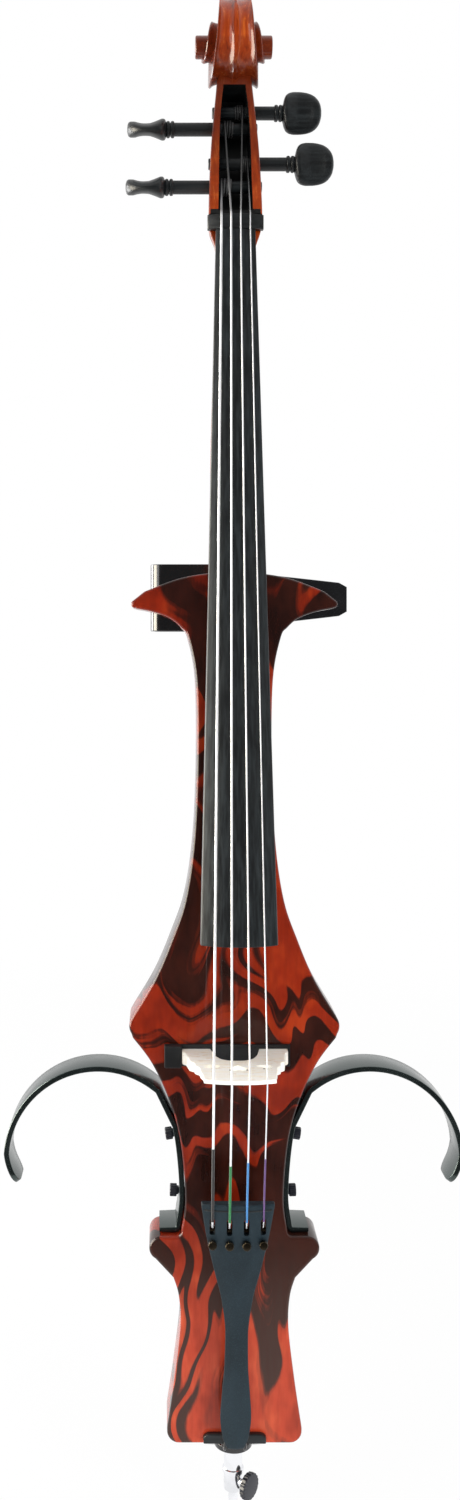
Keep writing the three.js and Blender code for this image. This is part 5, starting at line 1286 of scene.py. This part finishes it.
def make_saddle():
    half = SADDLE_WIDTH / 2
    low = BODY_BOTTOM + BODY_EDGE
    shape = ((-1, 0), (1, 0), (1, 0.7), (0.86, 1), (-0.86, 1), (-1, 0.7))
    outline = softened([(half * out, low + SADDLE_HEIGHT * up) for out, up in shape], 1.2, 3, closed=True)
    obj = plate("saddle_block", outline, FRONT - GAP - SADDLE_THICKNESS, FRONT - GAP, 0.8, 4)
    dress(obj, "frame", "ebony", EBONY_CROSS, ["saddle"])


# Pickup bar and bridge

def make_pickup():
    foot, level = BRIDGE_FOOT_SPAN / 2, FRONT - GAP
    low = BRIDGE_Z - BRIDGE_FOOT_THICKNESS / 2 - PICKUP_RIM
    high = low + 2 * PICKUP_RIM
    bar = block("pickup_rail", (-foot - PICKUP_LEFT, level - PICKUP_THICKNESS, low),
                (foot + PICKUP_RIGHT, level, high), 0.5)
    step = block("step", (-foot - PICKUP_LEFT, level - PICKUP_STEP, low), (-foot - GAP, level, high), 0.9)
    dress(join(bar, step), "frame", "black_plastic", PLASTIC, ["pickup_bar"])


def bridge_outline():
    sides = ((1, 0), (1, 0.09), (0.93, 0.15), (0.875, 0.4), (0.79, 0.45), (0.785, 0.53), (0.7, 0.6), (0.69, 0.72),
             (0.65, 0.8))
    gate = ((-1, 0), (-0.86, 0.55), (-0.62, 0.88), (-0.3, 1), (0.3, 1), (0.62, 0.88), (0.86, 0.55), (1, 0))
    half = BRIDGE_TOP_WIDTH / 2
    top = [V((x, BRIDGE_RISE - arch(x, BRIDGE_ARCH))) for x in evenly(half, -half, 28)]
    right = softened([(out * BRIDGE_FOOT_SPAN / 2, up * BRIDGE_RISE) for out, up in sides] + top[:1], 1.8, 3)
    inner = softened([(out * BRIDGE_GATE_WIDTH / 2, up * BRIDGE_GATE_HEIGHT) for out, up in gate], 5, 4)
    return right + top[1:-1] + mirrored(right) + inner


def make_bridge():
    """The bridge is built lying flat, X by height, and then thinned towards its top edge."""
    obj = plate("bridge_maple", bridge_outline(), 0, BRIDGE_FOOT_THICKNESS, 0.9, 3)
    size = BRIDGE_GATE_WIDTH / 5
    heart = [(x * size, BRIDGE_RISE * 0.62 + y * size) for x, y in (
        (0, -1), (0.75, -0.1), (0.8, 0.55), (0.4, 0.8), (0, 0.45), (-0.4, 0.8), (-0.8, 0.55), (-0.75, -0.1))]
    tools = [prism(softened(heart, 1.6, 4, closed=True), -1, BRIDGE_FOOT_THICKNESS + 1)]
    size = BRIDGE_GATE_WIDTH / 6
    for side in (-1, 1):
        kidney = [(side * (BRIDGE_TOP_WIDTH * 0.36 + x * size), BRIDGE_RISE * 0.58 + y * size) for x, y in (
            (-0.9, -0.6), (0.4, -0.9), (1.1, -0.3), (0.9, 0.4), (0.1, 0.3), (-0.7, 0.1))]
        tools.append(prism(softened(kidney, 1.8, 4, closed=True), -1, BRIDGE_FOOT_THICKNESS + 1))
    for n, name in enumerate(STRINGS):
        x, r = string_x(n, BRIDGE_SPREAD), STRING_RADII[name] + STRING_LIFT
        y = BRIDGE_RISE - arch(x, BRIDGE_ARCH) + r
        tools.append(rod((x, -1, y), (x, BRIDGE_FOOT_THICKNESS + 1, y), r + 0.25, 16))
    cut(obj, *tools)

    def stand(p):
        thickness = lerp(BRIDGE_FOOT_THICKNESS, BRIDGE_TOP_THICKNESS, p.z / BRIDGE_RISE)
        return V((p.x, BRIDGE_FOOT_Y - p.z, BRIDGE_Z - p.y / BRIDGE_FOOT_THICKNESS * thickness))

    face_out(moved(obj, stand))
    dress(obj, "frame", "bridge_maple", MAPLE, ["bridge"], 30)
    for n in range(len(STRINGS)):
        x = string_x(n, BRIDGE_DOT_SPREAD)
        y = BRIDGE_FOOT_Y - (BRIDGE_RISE - arch(x, BRIDGE_DOT_ARCH) - BRIDGE_DOT_DROP)
        dot = turned(f"bridge_dot_{n + 1}", [(AXIS, -0.6), (0.95, -0.6), (0.95, 0.02), (0.75, 0.12), (AXIS, 0.12)],
                     (x, y, BRIDGE_Z), (0, 0, 1), 20)
        dress(dot, "frame", "bridge_maple", EBONY_CROSS)


# Tailpiece

TAIL_WIDTHS = (1, 0.855, 0.625, 0.42, 0.31, 0.325, 0.385, 0.43, 0.365, 0.235)
TAIL_PLACES = (0, 0.124, 0.268, 0.386, 0.531, 0.654, 0.768, 0.867, 0.953, 1)


def tail_share(z):
    return (TAIL_TOP_Z - z) / TAIL_LENGTH


def tail_top_y(z):
    return FRONT - lerp(TAIL_TOP_HEIGHT, TAIL_END_HEIGHT, tail_share(z))


def tail_half(z):
    return TAIL_TOP_WIDTH * smooth_value(TAIL_PLACES, TAIL_WIDTHS, tail_share(z)) / 2


def tail_edge_y(z):
    return tail_top_y(z) + TAIL_CROWN * (2 * tail_half(z) / TAIL_TOP_WIDTH) ** 0.7


def tail_surface_y(x, z):
    return lerp(tail_top_y(z), tail_edge_y(z), min(abs(x) / tail_half(z), 1) ** 2.2)


def tail_under_y(z):
    share = tail_share(z)
    return tail_edge_y(z) + TAIL_EDGE * (lerp(1, 0.6, share) if share < 0.76 else
                                         smooth_value((0.76, 0.86, 1), (0.696, 0.5, 0.5), share))


def make_tailpiece():
    rows = []
    for share in [0, 0.0012, 0.0035, *evenly(0.007, 0.99, 72), 0.995, 0.9985, 1]:
        z = TAIL_TOP_Z - share * TAIL_LENGTH
        half, under, lip = tail_half(z), tail_under_y(z), tail_edge_y(z) + GAP
        pinch = 0.9 * max(0, 1 - share / 0.006) ** 2 + 0.9 * max(0, (share - 0.992) / 0.008) ** 2
        crown = [V((out * half, tail_surface_y(out * half, z))) for out in evenly(0.97, -0.97, 24)]
        outline = [V((-half, under)), V((half, under)), V((half, lip)), *crown, V((-half, lip))]
        level = (under + tail_top_y(z)) / 2
        narrow, thin = 1 - pinch / half, 1 - pinch / (under - level)
        rows.append(at_height([(p.x * narrow, level + (p.y - level) * thin)
                               for p in softened(outline, 1.3, 3, closed=True)], z))
    obj = loft("tailpiece_shell", rows)
    above = tail_top_y(TAIL_TOP_Z) - OVERRUN
    tools = []
    for n, name in enumerate(STRINGS):
        x = string_x(n, TAIL_SPREAD)
        left, right = x - SLOT_WIDTH / 2, x + SLOT_WIDTH / 2
        slot = [(left, SLOT_END_Z), (right, SLOT_END_Z), (right, SLOT_TOP_Z), (left, SLOT_TOP_Z)]
        tools.append(prism(softened(slot, 2.2, 5, closed=True), above, FRONT))
        tools += holes([(x, TUNER_Z)], above, FRONT, TUNER_SHANK_RADIUS + GAP)
        groove = [(x, tail_surface_y(x, z) - 0.1, z + past) for z, past in ((TAIL_TOP_Z, 1), (SLOT_TOP_Z, -1))]
        tools.append(rod(*groove, STRING_RADII[name] + 0.35, 16))
    tools += holes([(side * GUT_SPREAD / 4, GUT_HOLE_Z) for side in (-1, 1)], tail_top_y(GUT_HOLE_Z) + TAIL_CROWN / 2,
                   FRONT, GUT_RADIUS + GAP)
    cut(obj, *tools)
    dress(obj, "frame", "black_composite", SLATE, ["tailpiece"], 30)
    z = TAIL_TOP_Z - FRET_DOWN
    fret = [(x, tail_surface_y(x, z) + 0.35, z) for x in evenly(-0.93 * tail_half(z), 0.93 * tail_half(z), 24)]
    dress(tube("tail_fret", fret, FRET_RADIUS, 12), "frame", "black_composite", EBONY_CROSS)


def make_tuners():
    for n, name in enumerate(STRINGS):
        x = string_x(n, TAIL_SPREAD)
        low, high = edges(f"tuner_screw_{name}")
        r, h = TUNER_HEAD_RADIUS, TUNER_HEAD_HEIGHT
        shank, length = TUNER_SHANK_RADIUS, high.y - low.y
        profile = [(0.4, 0), *softened([(0.5, 0), (r, 0), (r, h), (shank, h)], 0.7, 3)[1:-1],
                   (shank, h), (shank, length - 0.5), (1, length)]
        screw = turned(f"tuner_knob_{name}", profile, (x, low.y, TUNER_Z), (0, 1, 0), 84, 14, 0.32, (2, 7))
        dress(screw, f"tuner_screw_{name}", "dark_brass", DARK_BRASS, [f"tuner_screw_{name}"])
        low, high = edges(f"tuner_lever_{name}")
        left, right, half = x - LEVER_WIDTH / 2, x + LEVER_WIDTH / 2, LEVER_THICKNESS / 2
        foot = block(f"tuner_arm_{name}", (left, high.y - LEVER_THICKNESS, low.z), (right, high.y, high.z), 0.4)
        hook = block("hook", (left, low.y, LEVER_Z - half), (right, high.y, LEVER_Z + half), 0.4)
        dress(join(foot, hook), f"tuner_lever_{name}", "dark_brass", DARK_BRASS, [f"tuner_lever_{name}"])


# Strings

def string_points(n):
    """A string's run from its hook to its peg, and its turns there."""
    name = STRINGS[n]
    radius = STRING_RADII[name]
    peg = PEGS[name]
    centre = peg_place(peg)
    reach = PEG_BODY_RADIUS + STRING_LIFT + radius
    nut_x = string_x(n, NUT_SPREAD)
    nut_point = V((nut_x, nut_y(nut_x) - STRING_LIFT - radius, NUT_Z + GAP))
    nut_back = V((nut_x, nut_point.y + radius / 3, NUT_Z + NUT_THICKNESS))
    back, up = centre.y - nut_back.y, centre.z - nut_back.z
    first = math.acos(reach / math.hypot(back, up)) - math.atan2(up, back)
    pitch = 2 * radius + WINDING_GAP
    start = peg[0] * (box_half(peg[1]) - PEGBOX_WALL - PEG_RING_EDGE - radius - GAP)
    turns = []
    for k in range(WINDING_TURNS * 32 + 1):
        angle = first + 2 * math.pi * k / 32
        turns.append(V((start - peg[0] * pitch * k / 32, centre.y - reach * math.cos(angle),
                        centre.z + reach * math.sin(angle))))
    end = turns[-1] + V((0, math.sin(first), math.cos(first))) * 2 * radius
    bridge_x = string_x(n, BRIDGE_SPREAD)
    over_bridge = FRONT - BRIDGE_HEIGHT + arch(bridge_x, BRIDGE_ARCH) - STRING_LIFT - radius
    tail_x = string_x(n, TAIL_SPREAD)

    def over(z):
        return tail_surface_y(tail_x, z) - STRING_LIFT - radius

    hook = V((tail_x, over(LEVER_Z) + TAIL_CROWN, LEVER_Z + LEVER_THICKNESS / 2 + GAP + radius))
    edge, slot = V((tail_x, over(TAIL_TOP_Z), TAIL_TOP_Z)), V((tail_x, over(SLOT_TOP_Z), SLOT_TOP_Z))
    bridge = [V((bridge_x, over_bridge, z)) for z in (BRIDGE_Z - BRIDGE_TOP_THICKNESS, BRIDGE_Z)]
    return [hook, slot, edge, *bridge, nut_point, nut_back], turns + [end], edge


def make_strings():
    for n, name in enumerate(STRINGS):
        run, turns, edge = string_points(n)
        radius = STRING_RADII[name]
        points = softened(run, 1.2, 3) + turns
        obj = tube(f"string_wire_{name}", without_repeats(points, 0.1), radius)
        dress(obj, "frame", "string_steel", STEEL_STRING if name in "cg" else PLAIN_STRING, [f"string_{name}"], 40)
        bridge = run[3]
        share = (SILK_ENDS[name] - edge.z) / (bridge.z - edge.z)
        top = edge.lerp(bridge, share)
        silk_run = softened([run[1] - V((0, 0.3, 1.5)), run[1], edge, top], 1.2, 3)
        wrap = tube(f"silk_{name}", silk_run, radius + 0.2)
        dress(wrap, "frame", "string_steel", SILKS[name], (), 40)


# Tail gut

def make_gut():
    side = GUT_SPREAD / 2
    top = FRONT - GAP - SADDLE_THICKNESS - GAP - GUT_RADIUS
    loop_z = BODY_BOTTOM - GAP - FLANGE_NECK_HEIGHT / 2
    under = BODY_BOTTOM - GAP - GUT_RADIUS
    loop = at_height(arc((0, 0), FLANGE_NECK_RADIUS + GAP + GUT_RADIUS, -30, 210, 48), loop_z)
    run = [V((side / 2, top - GUT_RADIUS, GUT_HOLE_Z)), V((side * 0.8, top, BODY_BOTTOM + BODY_EDGE + SADDLE_HEIGHT)),
           V((side, top, BODY_BOTTOM + BODY_EDGE)), V((side, top + GUT_RADIUS, under - GUT_RADIUS / 2)),
           V((side * 1.2, FRONT / 1.6, loop_z + GUT_RADIUS / 2))]
    obj = tube("tail_cord", softened(run, 2.5, 5) + loop + softened(mirrored(run), 2.5, 5), GUT_RADIUS)
    dress(obj, "frame", "gut_cord", CORD, ["tail_gut"], 50)


# Endpin: flange, socket, rod, foot and thumbscrew

def make_endpin():
    low, high = FLANGE_LOW.z, FLANGE_HIGH.z
    top, skirt, neck = low + FLANGE_PLATE, FLANGE_DEPTH / 2, FLANGE_NECK_RADIUS
    outline = rounded_rectangle(FLANGE_WIDTH, FLANGE_DEPTH, (FLANGE_WIDTH + FLANGE_DEPTH) / 4.8, steps=10)
    flange = loft("flange_plate", rounded_rows(outline, low, top, 0.7, 3, lambda p, level: V((p.x, p.y, level))))
    cut(flange, rod((0, 0, low - OVERRUN), (0, 0, high), skirt - 0.2, 64))
    collar = turned("flange_neck", softened([(1, low), (skirt, low), (skirt, top + 1), (neck, top + 1), (neck, high),
                                             (1, high)], 0.9, 4), sides=64)
    for piece, finish in ((flange, CHROME), (collar, GLOSS_BLACK)):
        cut(piece, rod((0, 0, low - OVERRUN), (0, 0, high + OVERRUN), SOCKET_RADIUS + GAP, 48))
        dress(piece, "frame", "chrome", finish, ["endpin_flange"])
    inner = ROD_RADIUS + GAP
    low, high = SOCKET_LOW.z, SOCKET_HIGH.z
    ring, r, wide = CLAMP_Z + SOCKET_RADIUS - SOCKET_RING_DROP, SOCKET_RADIUS, SOCKET_RING_RADIUS
    top = ring + SOCKET_RING_HEIGHT
    outer = softened([(inner + 0.4, low), (r, low), (r, ring), (wide, ring), (wide, top), (r, top), (r, high),
                      (inner + 0.4, high)], 0.8, 3)
    socket = pipe("socket_barrel", outer + [V((inner, high - 0.5)), V((inner, low + 0.5))])
    cut(socket, rod((0, 0, CLAMP_Z), V((0, 0, CLAMP_Z)) + CLAMP_DIRECTION * CLAMP_REACH, SCREW_SHANK_RADIUS + GAP, 24))
    dress(socket, "frame", "chrome", CHROME, ["endpin_socket"])


def make_foot():
    low, high = edges("endpin_foot")
    z = low.z
    profile = ((FOOT_TIP_RADIUS, 0), (FOOT_RADIUS * 0.8, FOOT_HEIGHT * 0.3), (FOOT_RADIUS, FOOT_HEIGHT * 0.62),
               (FOOT_RADIUS, FOOT_HEIGHT * 0.9), (FOOT_RADIUS * 0.86, FOOT_HEIGHT),
               (ROD_RADIUS + GAP, FOOT_HEIGHT), (ROD_RADIUS + GAP, FOOT_HEIGHT - FOOT_SOCKET_DEPTH))
    outer = softened([(AXIS, z)] + [(r, z + h) for r, h in profile], 1.5, 4)
    foot = turned("rubber_foot", outer + [V((AXIS, z + FOOT_HEIGHT - FOOT_SOCKET_DEPTH))])
    dress(foot, "endpin", "rubber", RUBBER, ["endpin_foot"])
    low, high = edges("endpin_rod")
    r = ROD_RADIUS
    pin = turned("pin_rod", softened([(AXIS, low.z), (r, low.z), (r, high.z), (AXIS, high.z)], 0.6, 3), sides=40)
    dress(pin, "endpin", "chrome", CHROME, ["endpin_rod"])


def thumbscrew(name, place, way, sizes, lobes):
    """A screw that starts at a place: its neck and head outwards, its shank inwards."""
    head, head_length, neck, neck_length, shank, shank_length = sizes
    top, end = neck_length + head_length, -shank_length
    profile = [(AXIS, end), (shank - 0.5, end), (shank, end + 0.5), (shank, -0.2), (shank, 0)]
    knurl = softened([(neck, 0), (neck, neck_length), (head, neck_length), (head, top), (AXIS, top)], 0.9, 3)
    return turned(name, profile + knurl, place, way, 8 * lobes, lobes, 0.55, (len(profile) + 6, len(profile) + 11))


def make_clamp():
    sizes = (CLAMP_HEAD_RADIUS, CLAMP_HEAD_LENGTH, SCREW_NECK_RADIUS, CLAMP_NECK, SCREW_SHANK_RADIUS,
             SOCKET_RADIUS - ROD_RADIUS)
    place = V((0, 0, CLAMP_Z)) + CLAMP_DIRECTION * (SOCKET_RADIUS + GAP)
    screw = thumbscrew("clamp_knob", place, CLAMP_DIRECTION, sizes, 18)
    dress(screw, "endpin_clamp", "black_steel", KNOB_BLACK, ["endpin_thumbscrew"])
    screw.data.materials.append(CHROME)
    for face in screw.data.polygons:
        if (face.center / MM - place).dot(CLAMP_DIRECTION) < CLAMP_NECK - 0.4:
            face.material_index = 1


# Knee rests: a strip that starts in the ledge, follows the grip and swings round to a hook

def knee_path():
    foot_top = LEDGE_HEIGHT + GAP + KNEE_THICKNESS / 2
    corner = V((GRIP[0].x + KNEE_THICKNESS / 2 + 2 * GAP, foot_top))
    off = KNEE_THICKNESS / 2 + GAP
    top = lerp(LEDGE_HEIGHT, WIDEST_LOW, KNEE_LEAVE_SHARE)
    grip = [spot + V((along.y, -along.x)) * off for spot, along in zip(GRIP_EDGE, tangents(GRIP_EDGE))][1:-1]
    grip = [spot for spot in grip if corner.y + KNEE_CORNER < spot.y < top]
    centre = V(KNEE_CENTRE)
    swing = arc(centre, KNEE_RADIUS, *KNEE_TURN, 40)
    hook_centre = V((centre.x + KNEE_RADIUS - KNEE_HOOK_RADIUS, swing[-1].y))
    hook = arc(hook_centre, KNEE_HOOK_RADIUS, -6, -KNEE_HOOK_TURN, 12)
    bend = softened([corner + V((KNEE_FOOT, 0)), corner, grip[0]], 4.6, 8)
    path = bend + grip[1:] + swing + hook
    return without_repeats([V((p.x, p.y + BODY_BOTTOM)) for p in path], 0.5)


def make_knee_rests():
    path = knee_path()
    # The last four spans are quartered for the rounded end
    path = path[:-5] + [path[-5 + n // 4].lerp(path[-4 + n // 4], n % 4 / 4) for n in range(16)] + path[-1:]
    level, width = (KNEE_LOW.y + KNEE_HIGH.y) / 2, KNEE_HIGH.y - KNEE_LOW.y
    sizes = (SCREW_HEAD_RADIUS, SCREW_HEAD_LENGTH, SCREW_NECK_RADIUS, SCREW_NECK_LENGTH, SCREW_SHANK_RADIUS,
             KNEE_THICKNESS + 2 * GAP + SCREW_IN_BODY)

    def half(_, point):
        share = min(1, (path[-1] - point).length / KNEE_END_ROUND)
        return width / 2 * (0.45 + 0.55 * math.sqrt(share * (2 - share)))

    for side, label in ((-1, "left"), (1, "right")):
        obj = strip(f"knee_strip_{label}", path, KNEE_THICKNESS, 0.7, half,
                    lambda spot, off: V((side * spot.x, level + off, spot.y)))
        cut(obj, *knee_holes(side))
        dress(obj, "frame", "black_steel", KNEE_BLACK, [f"knee_rest_{label}"], 40)
        for where, place, way in knee_screws(side):
            name = f"knee_screw_{label}_{where}"
            screw = thumbscrew(f"knob_{label}_{where}", place, way, sizes, 12)
            dress(screw, name, "black_steel", KNOB_BLACK, [name])


# Chest rest

CHEST_STEPS = 12


def chest_path():
    front = CHEST_LOW.y + CHEST_THICKNESS / 2
    turn = -CHEST_LEFT + CHEST_THICKNESS / 2 + CHEST_BEND
    back = front + CHEST_DEPTH
    rear = [V((lerp(turn, CHEST_RIGHT, share), back + CHEST_THICKNESS * (1 - (2 * share - 1) ** 2)))
            for share in evenly(0, 1, 2 * CHEST_STEPS)[1:]]
    return ([V((x, front)) for x in evenly(CHEST_FRONT_END, turn, CHEST_STEPS)[:-1]]
            + arc((turn, front + CHEST_BEND), CHEST_BEND, 270, 180, CHEST_STEPS)
            + arc((turn, back - CHEST_BEND), CHEST_BEND, 180, 90, CHEST_STEPS) + rear)


def chest_half(x, behind):
    """Half the strip's height at X, behind or in front of the bend."""
    start, end = -CHEST_LEFT / 2, CHEST_RIGHT - CHEST_CORNER
    if not behind or x <= start:
        return CHEST_HEIGHT / 2

    def curve(t, *ends):
        return (1 - t) ** 2 * ends[0] + 2 * t * (1 - t) * ends[1] + t * t * ends[2]

    low, high = 0.0, 1.0
    for _ in range(30):
        t = (low + high) / 2
        if curve(t, start, lerp(start, CHEST_RIGHT, 0.4), end) < x:
            low = t
        else:
            high = t
    half = curve(t, CHEST_HEIGHT / 2, CHEST_HEIGHT / 2 - CHEST_CORNER, CHEST_END_HEIGHT / 2)
    return half - (CHEST_CORNER - math.sqrt(max(0, CHEST_CORNER ** 2 - max(0, x - end) ** 2)))


def make_chest_rest():
    path = chest_path()
    last = len(path) - 1
    bent = CHEST_STEPS + 2 * (CHEST_STEPS + 1) - 4

    def half(n, point):
        return chest_half(CHEST_RIGHT - 0.3 if n == last else point.x, n > bent)

    obj = strip("chest_strip", path, CHEST_THICKNESS, 0.8, half, lambda spot, off: V((*spot, CHEST_Z + off)))
    cut(obj, *holes(CHEST_SCREWS, BACK - OVERRUN, BACK + CHEST_DEPTH / 2, SCREW_SHANK_RADIUS + GAP))
    dress(obj, "frame", "black_steel", GLOSS_BLACK, ["chest_rest"], 40)


# Screws at the back

def plain_screw(name, node, sizes, slot, material):
    """A round head towards +Y with a hexagon socket, and its shank."""
    radius, head_length, shank = sizes
    low, high = edges(node)
    x, z = seat(node)
    length = high.y - low.y
    head = length - head_length
    profile = [(AXIS, 0), (shank - 0.4, 0), (shank, 0.4), (shank, head), *softened(
        [(shank, head), (radius, head), (radius, length), (AXIS, length)], min(0.9, head_length / 3), 4)[1:]]
    obj = turned(name, profile, (x, low.y, z), (0, 1, 0), 40)
    cut(obj, turned("cut", [(radius * 0.5, length - head_length * 0.55), (radius * 0.5, length + 1)],
                    (x, low.y, z), (0, 1, 0), 6))
    dress(obj, "frame", slot, material, [node])


def make_screws():
    for label, node, count, sizes, slot, finish in (
            ("chest_bolt", "chest_screw", len(CHEST_SCREWS),
             (BOLT_HEAD_RADIUS, 0.6 * BOLT_HEAD_LENGTH, SCREW_SHANK_RADIUS), "black_steel", KNOB_BLACK),
            ("heel_bolt", "neck_bolt", len(BOLTS),
             (BOLT_HEAD_RADIUS, BOLT_HEAD_LENGTH, SCREW_SHANK_RADIUS), "chrome", CHROME),
            ("cover_bolt", "plate_screw", len(PLATE_SCREWS), PLATE_SCREW_SIZES, "black_steel", KNOB_BLACK)):
        for n in range(1, count + 1):
            plain_screw(f"{label}_{n}", f"{node}_{n}", sizes, slot, finish)


# Control plate, battery door, knobs, switch and jack

def make_cover():
    outline = rounded_rectangle(CAVITY_WIDTH + 2 * PLATE_MARGIN, CAVITY_HEIGHT + 2 * PLATE_MARGIN, CAVITY_CORNER,
                                (0, CAVITY_Z))
    cover = plate("cover_plate", outline, PLATE_LOW.y, PLATE_HIGH.y, 0.45, 3)
    low, high = PLATE_LOW.y - OVERRUN, PLATE_HIGH.y + OVERRUN
    switch_low, switch_high = edges("power_switch")
    size = switch_high.x - switch_low.x
    opening = rounded_rectangle(BATTERY_POCKET[0] - 2 * GAP, BATTERY_POCKET[1] - 2 * GAP, 1, (BATTERY_X, CAVITY_Z))
    cut(cover, prism(opening, low, high),
        cutter((SWITCH_X - size, low, SWITCH_Z - size / 2 - GAP),
               (SWITCH_X + 2.1 * size, high, SWITCH_Z + size / 2 + GAP)),
        *holes([(JACK_X, JACK_Z)], low, high, JACK_HOLE_RADIUS, 36),
        *holes([(KNOB_X, z) for z in KNOB_Z.values()], low, high, KNOB_HOLE_RADIUS, 32),
        *holes(PLATE_SCREWS, low, high, PLATE_SCREW_HOLE, 20))
    dress(cover, "frame", "black_plastic", PLASTIC, ["control_plate"])


def make_door():
    low, high = edges("battery_door")
    width, height = high.x - low.x, high.z - low.z
    x, z = seat("battery_door")
    door = plate("door_leaf", rounded_rectangle(width, height, 3, (x, z)), low.y, low.y + DOOR_THICKNESS, 0.6, 3)
    under = low.y + DOOR_THICKNESS - 0.5
    latch = block("latch", (x - width / 6, under, high.z - 6), (x + width / 6, high.y, high.z - 3), 0.5)
    ribs = [block("rib", (x - width / 4, under, top - 1), (x + width / 4, under + 0.95, top), 0.25)
            for top in (high.z - 11 - 2.2 * k for k in range(4))]
    join(door, latch, *ribs)
    dress(door, "battery_door", "black_plastic", PLASTIC, ["battery_door"])


def make_knobs():
    for name, z in KNOB_Z.items():
        low, high = edges(f"{name}_knob")
        r, length = KNOB_RADIUS, high.y - low.y
        shell = softened([(r, 0), (r, length * 0.3), (r * 0.94, length), (0.4, length)], 1.2, 4)
        knob = turned(f"dial_{name}", [(0.4, 0), (r - 0.5, 0), *shell[1:]], (KNOB_X, low.y, z), (0, 1, 0),
                      128, 32, 0.4, (3, 9))
        cut(knob, *holes([(KNOB_X, z)], low.y - 1, low.y + 0.7 * length, KNOB_BORE_RADIUS),
            block("cut", (KNOB_X - 0.5, high.y - 0.8, z + 2), (KNOB_X + 0.5, high.y + 2, z + r), 0.2))
        dress(knob, f"{name}_knob", "black_plastic", PLASTIC, [f"{name}_knob"])
        line = block(f"dial_line_{name}", (KNOB_X - 0.4, high.y - 0.78, z + 2.1),
                     (KNOB_X + 0.4, high.y - 0.1, z + r - 1.4), 0.15)
        dress(line, f"{name}_knob", "black_plastic", WHITE_MARK)


def make_switch():
    low, high = edges("power_switch")
    toggle = block("switch_slider", tuple(low), tuple(high), 0.4)
    grooves = [cutter((x, high.y - 0.4, low.z - 1), (x + 0.35, high.y + 1, high.z + 1))
               for x in (lerp(low.x, high.x, share) for share in (0.28, 0.5, 0.72))]
    dress(cut(toggle, *grooves), "power_switch", "black_plastic", PLASTIC, ["power_switch"])


def make_jack():
    low, high = edges("output_jack")
    shape = [(JACK_BARREL_RADIUS, low.y), (JACK_BARREL_RADIUS, JACK_STEP_Y), (JACK_FACE_RADIUS, JACK_STEP_Y),
             (JACK_FACE_RADIUS, high.y), (JACK_BORE_RADIUS, high.y), (JACK_BORE_RADIUS, low.y)]
    jack = pipe("jack_bush", softened(shape, 0.6, 3, closed=True), (JACK_X, 0, JACK_Z), (0, 1, 0), 56)
    dress(jack, "frame", "chrome", CHROME, ["output_jack"])


def paint_hidden():
    """Gives the pieces inside the cavity their looks, on the part's own solids."""
    for node, finish in (("battery", CELL), ("volume_pot", CELL), ("tone_pot", CELL), ("battery_clip", PLASTIC),
                         ("switch_body", PLASTIC), ("preamp_board", BOARD)):
        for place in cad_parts[node].material_slots:
            place.material = finish


# Pegs

HEAD_SHARES = (  # share of the head's length, of its height and of its thickness
    (0, 0.44, 0.84), (0.03, 0.66, 0.96), (0.08, 0.84, 0.98), (0.18, 0.96, 0.86), (0.3, 1, 0.7), (0.42, 1, 0.58),
    (0.56, 0.975, 0.56), (0.7, 0.91, 0.62), (0.82, 0.79, 0.72), (0.91, 0.62, 0.72), (0.97, 0.42, 0.6), (1, 0.2, 0.3))


def make_pegs():
    places, talls, thicks = zip(*HEAD_SHARES)
    for name, (side, share, head_start, degrees) in PEGS.items():
        centre, turn = peg_place(PEGS[name]), math.radians(degrees)

        def ring(x, ry, rz, square=2.0):
            out = []
            for angle in circle(48):
                a, b = superellipse(angle, square, ry, rz)
                y, z = a * math.cos(turn) - b * math.sin(turn), a * math.sin(turn) + b * math.cos(turn)
                out.append(V((side * x, centre.y + side * y, centre.z + z)))
            return out

        wall = box_half(share)
        inner, tip = wall - PEGBOX_WALL, -wall - PEG_TIP
        collar = head_start - 2.5 * PEG_RING_WIDTH
        profile = [(tip, AXIS), (tip, PEG_TIP_RADIUS - 0.8), (tip + 0.25, PEG_TIP_RADIUS - 0.3),
                   (tip + 0.8, PEG_TIP_RADIUS), (-inner, PEG_TIP_RADIUS), (-inner + 0.5, PEG_BODY_RADIUS),
                   (inner - 0.5, PEG_BODY_RADIUS), (inner, PEG_RADIUS), (collar - 0.3, PEG_RADIUS)]
        for start in (collar, collar + 1.25 * PEG_RING_WIDTH):
            profile += [(start + PEG_RING_WIDTH / 2 * (1 - math.cos(a)),
                         lerp(PEG_RADIUS, PEG_RING_RADIUS, abs(math.sin(a)) ** 0.6)) for a in evenly(0, math.pi, 8)]
        rows = [ring(x, r, r) for x, r in profile]
        for a in evenly(0, math.pi, 40):
            along = (1 - math.cos(a)) / 2
            tall = smooth_value(places, talls, along) * PEG_HEAD_HEIGHT / 2
            thick = smooth_value(places, thicks, along) * PEG_HEAD_THICKNESS / 2
            rows.append(ring(head_start + along * PEG_HEAD_LENGTH, thick, tall, 2.15))
        obj = loft(f"peg_turned_{name}", rows)
        dress(obj, f"peg_{name}", "ebony", EBONY_CROSS, [f"peg_{name}"], 40)


for make in (make_body, make_neck, make_nut, make_fingerboard, make_saddle, make_pickup, make_bridge, make_tailpiece,
             make_tuners, make_strings, make_gut, make_endpin, make_foot, make_clamp, make_knee_rests, make_chest_rest,
             make_screws, make_cover, make_door, make_knobs, make_switch, make_jack, paint_hidden, make_pegs):
    make()
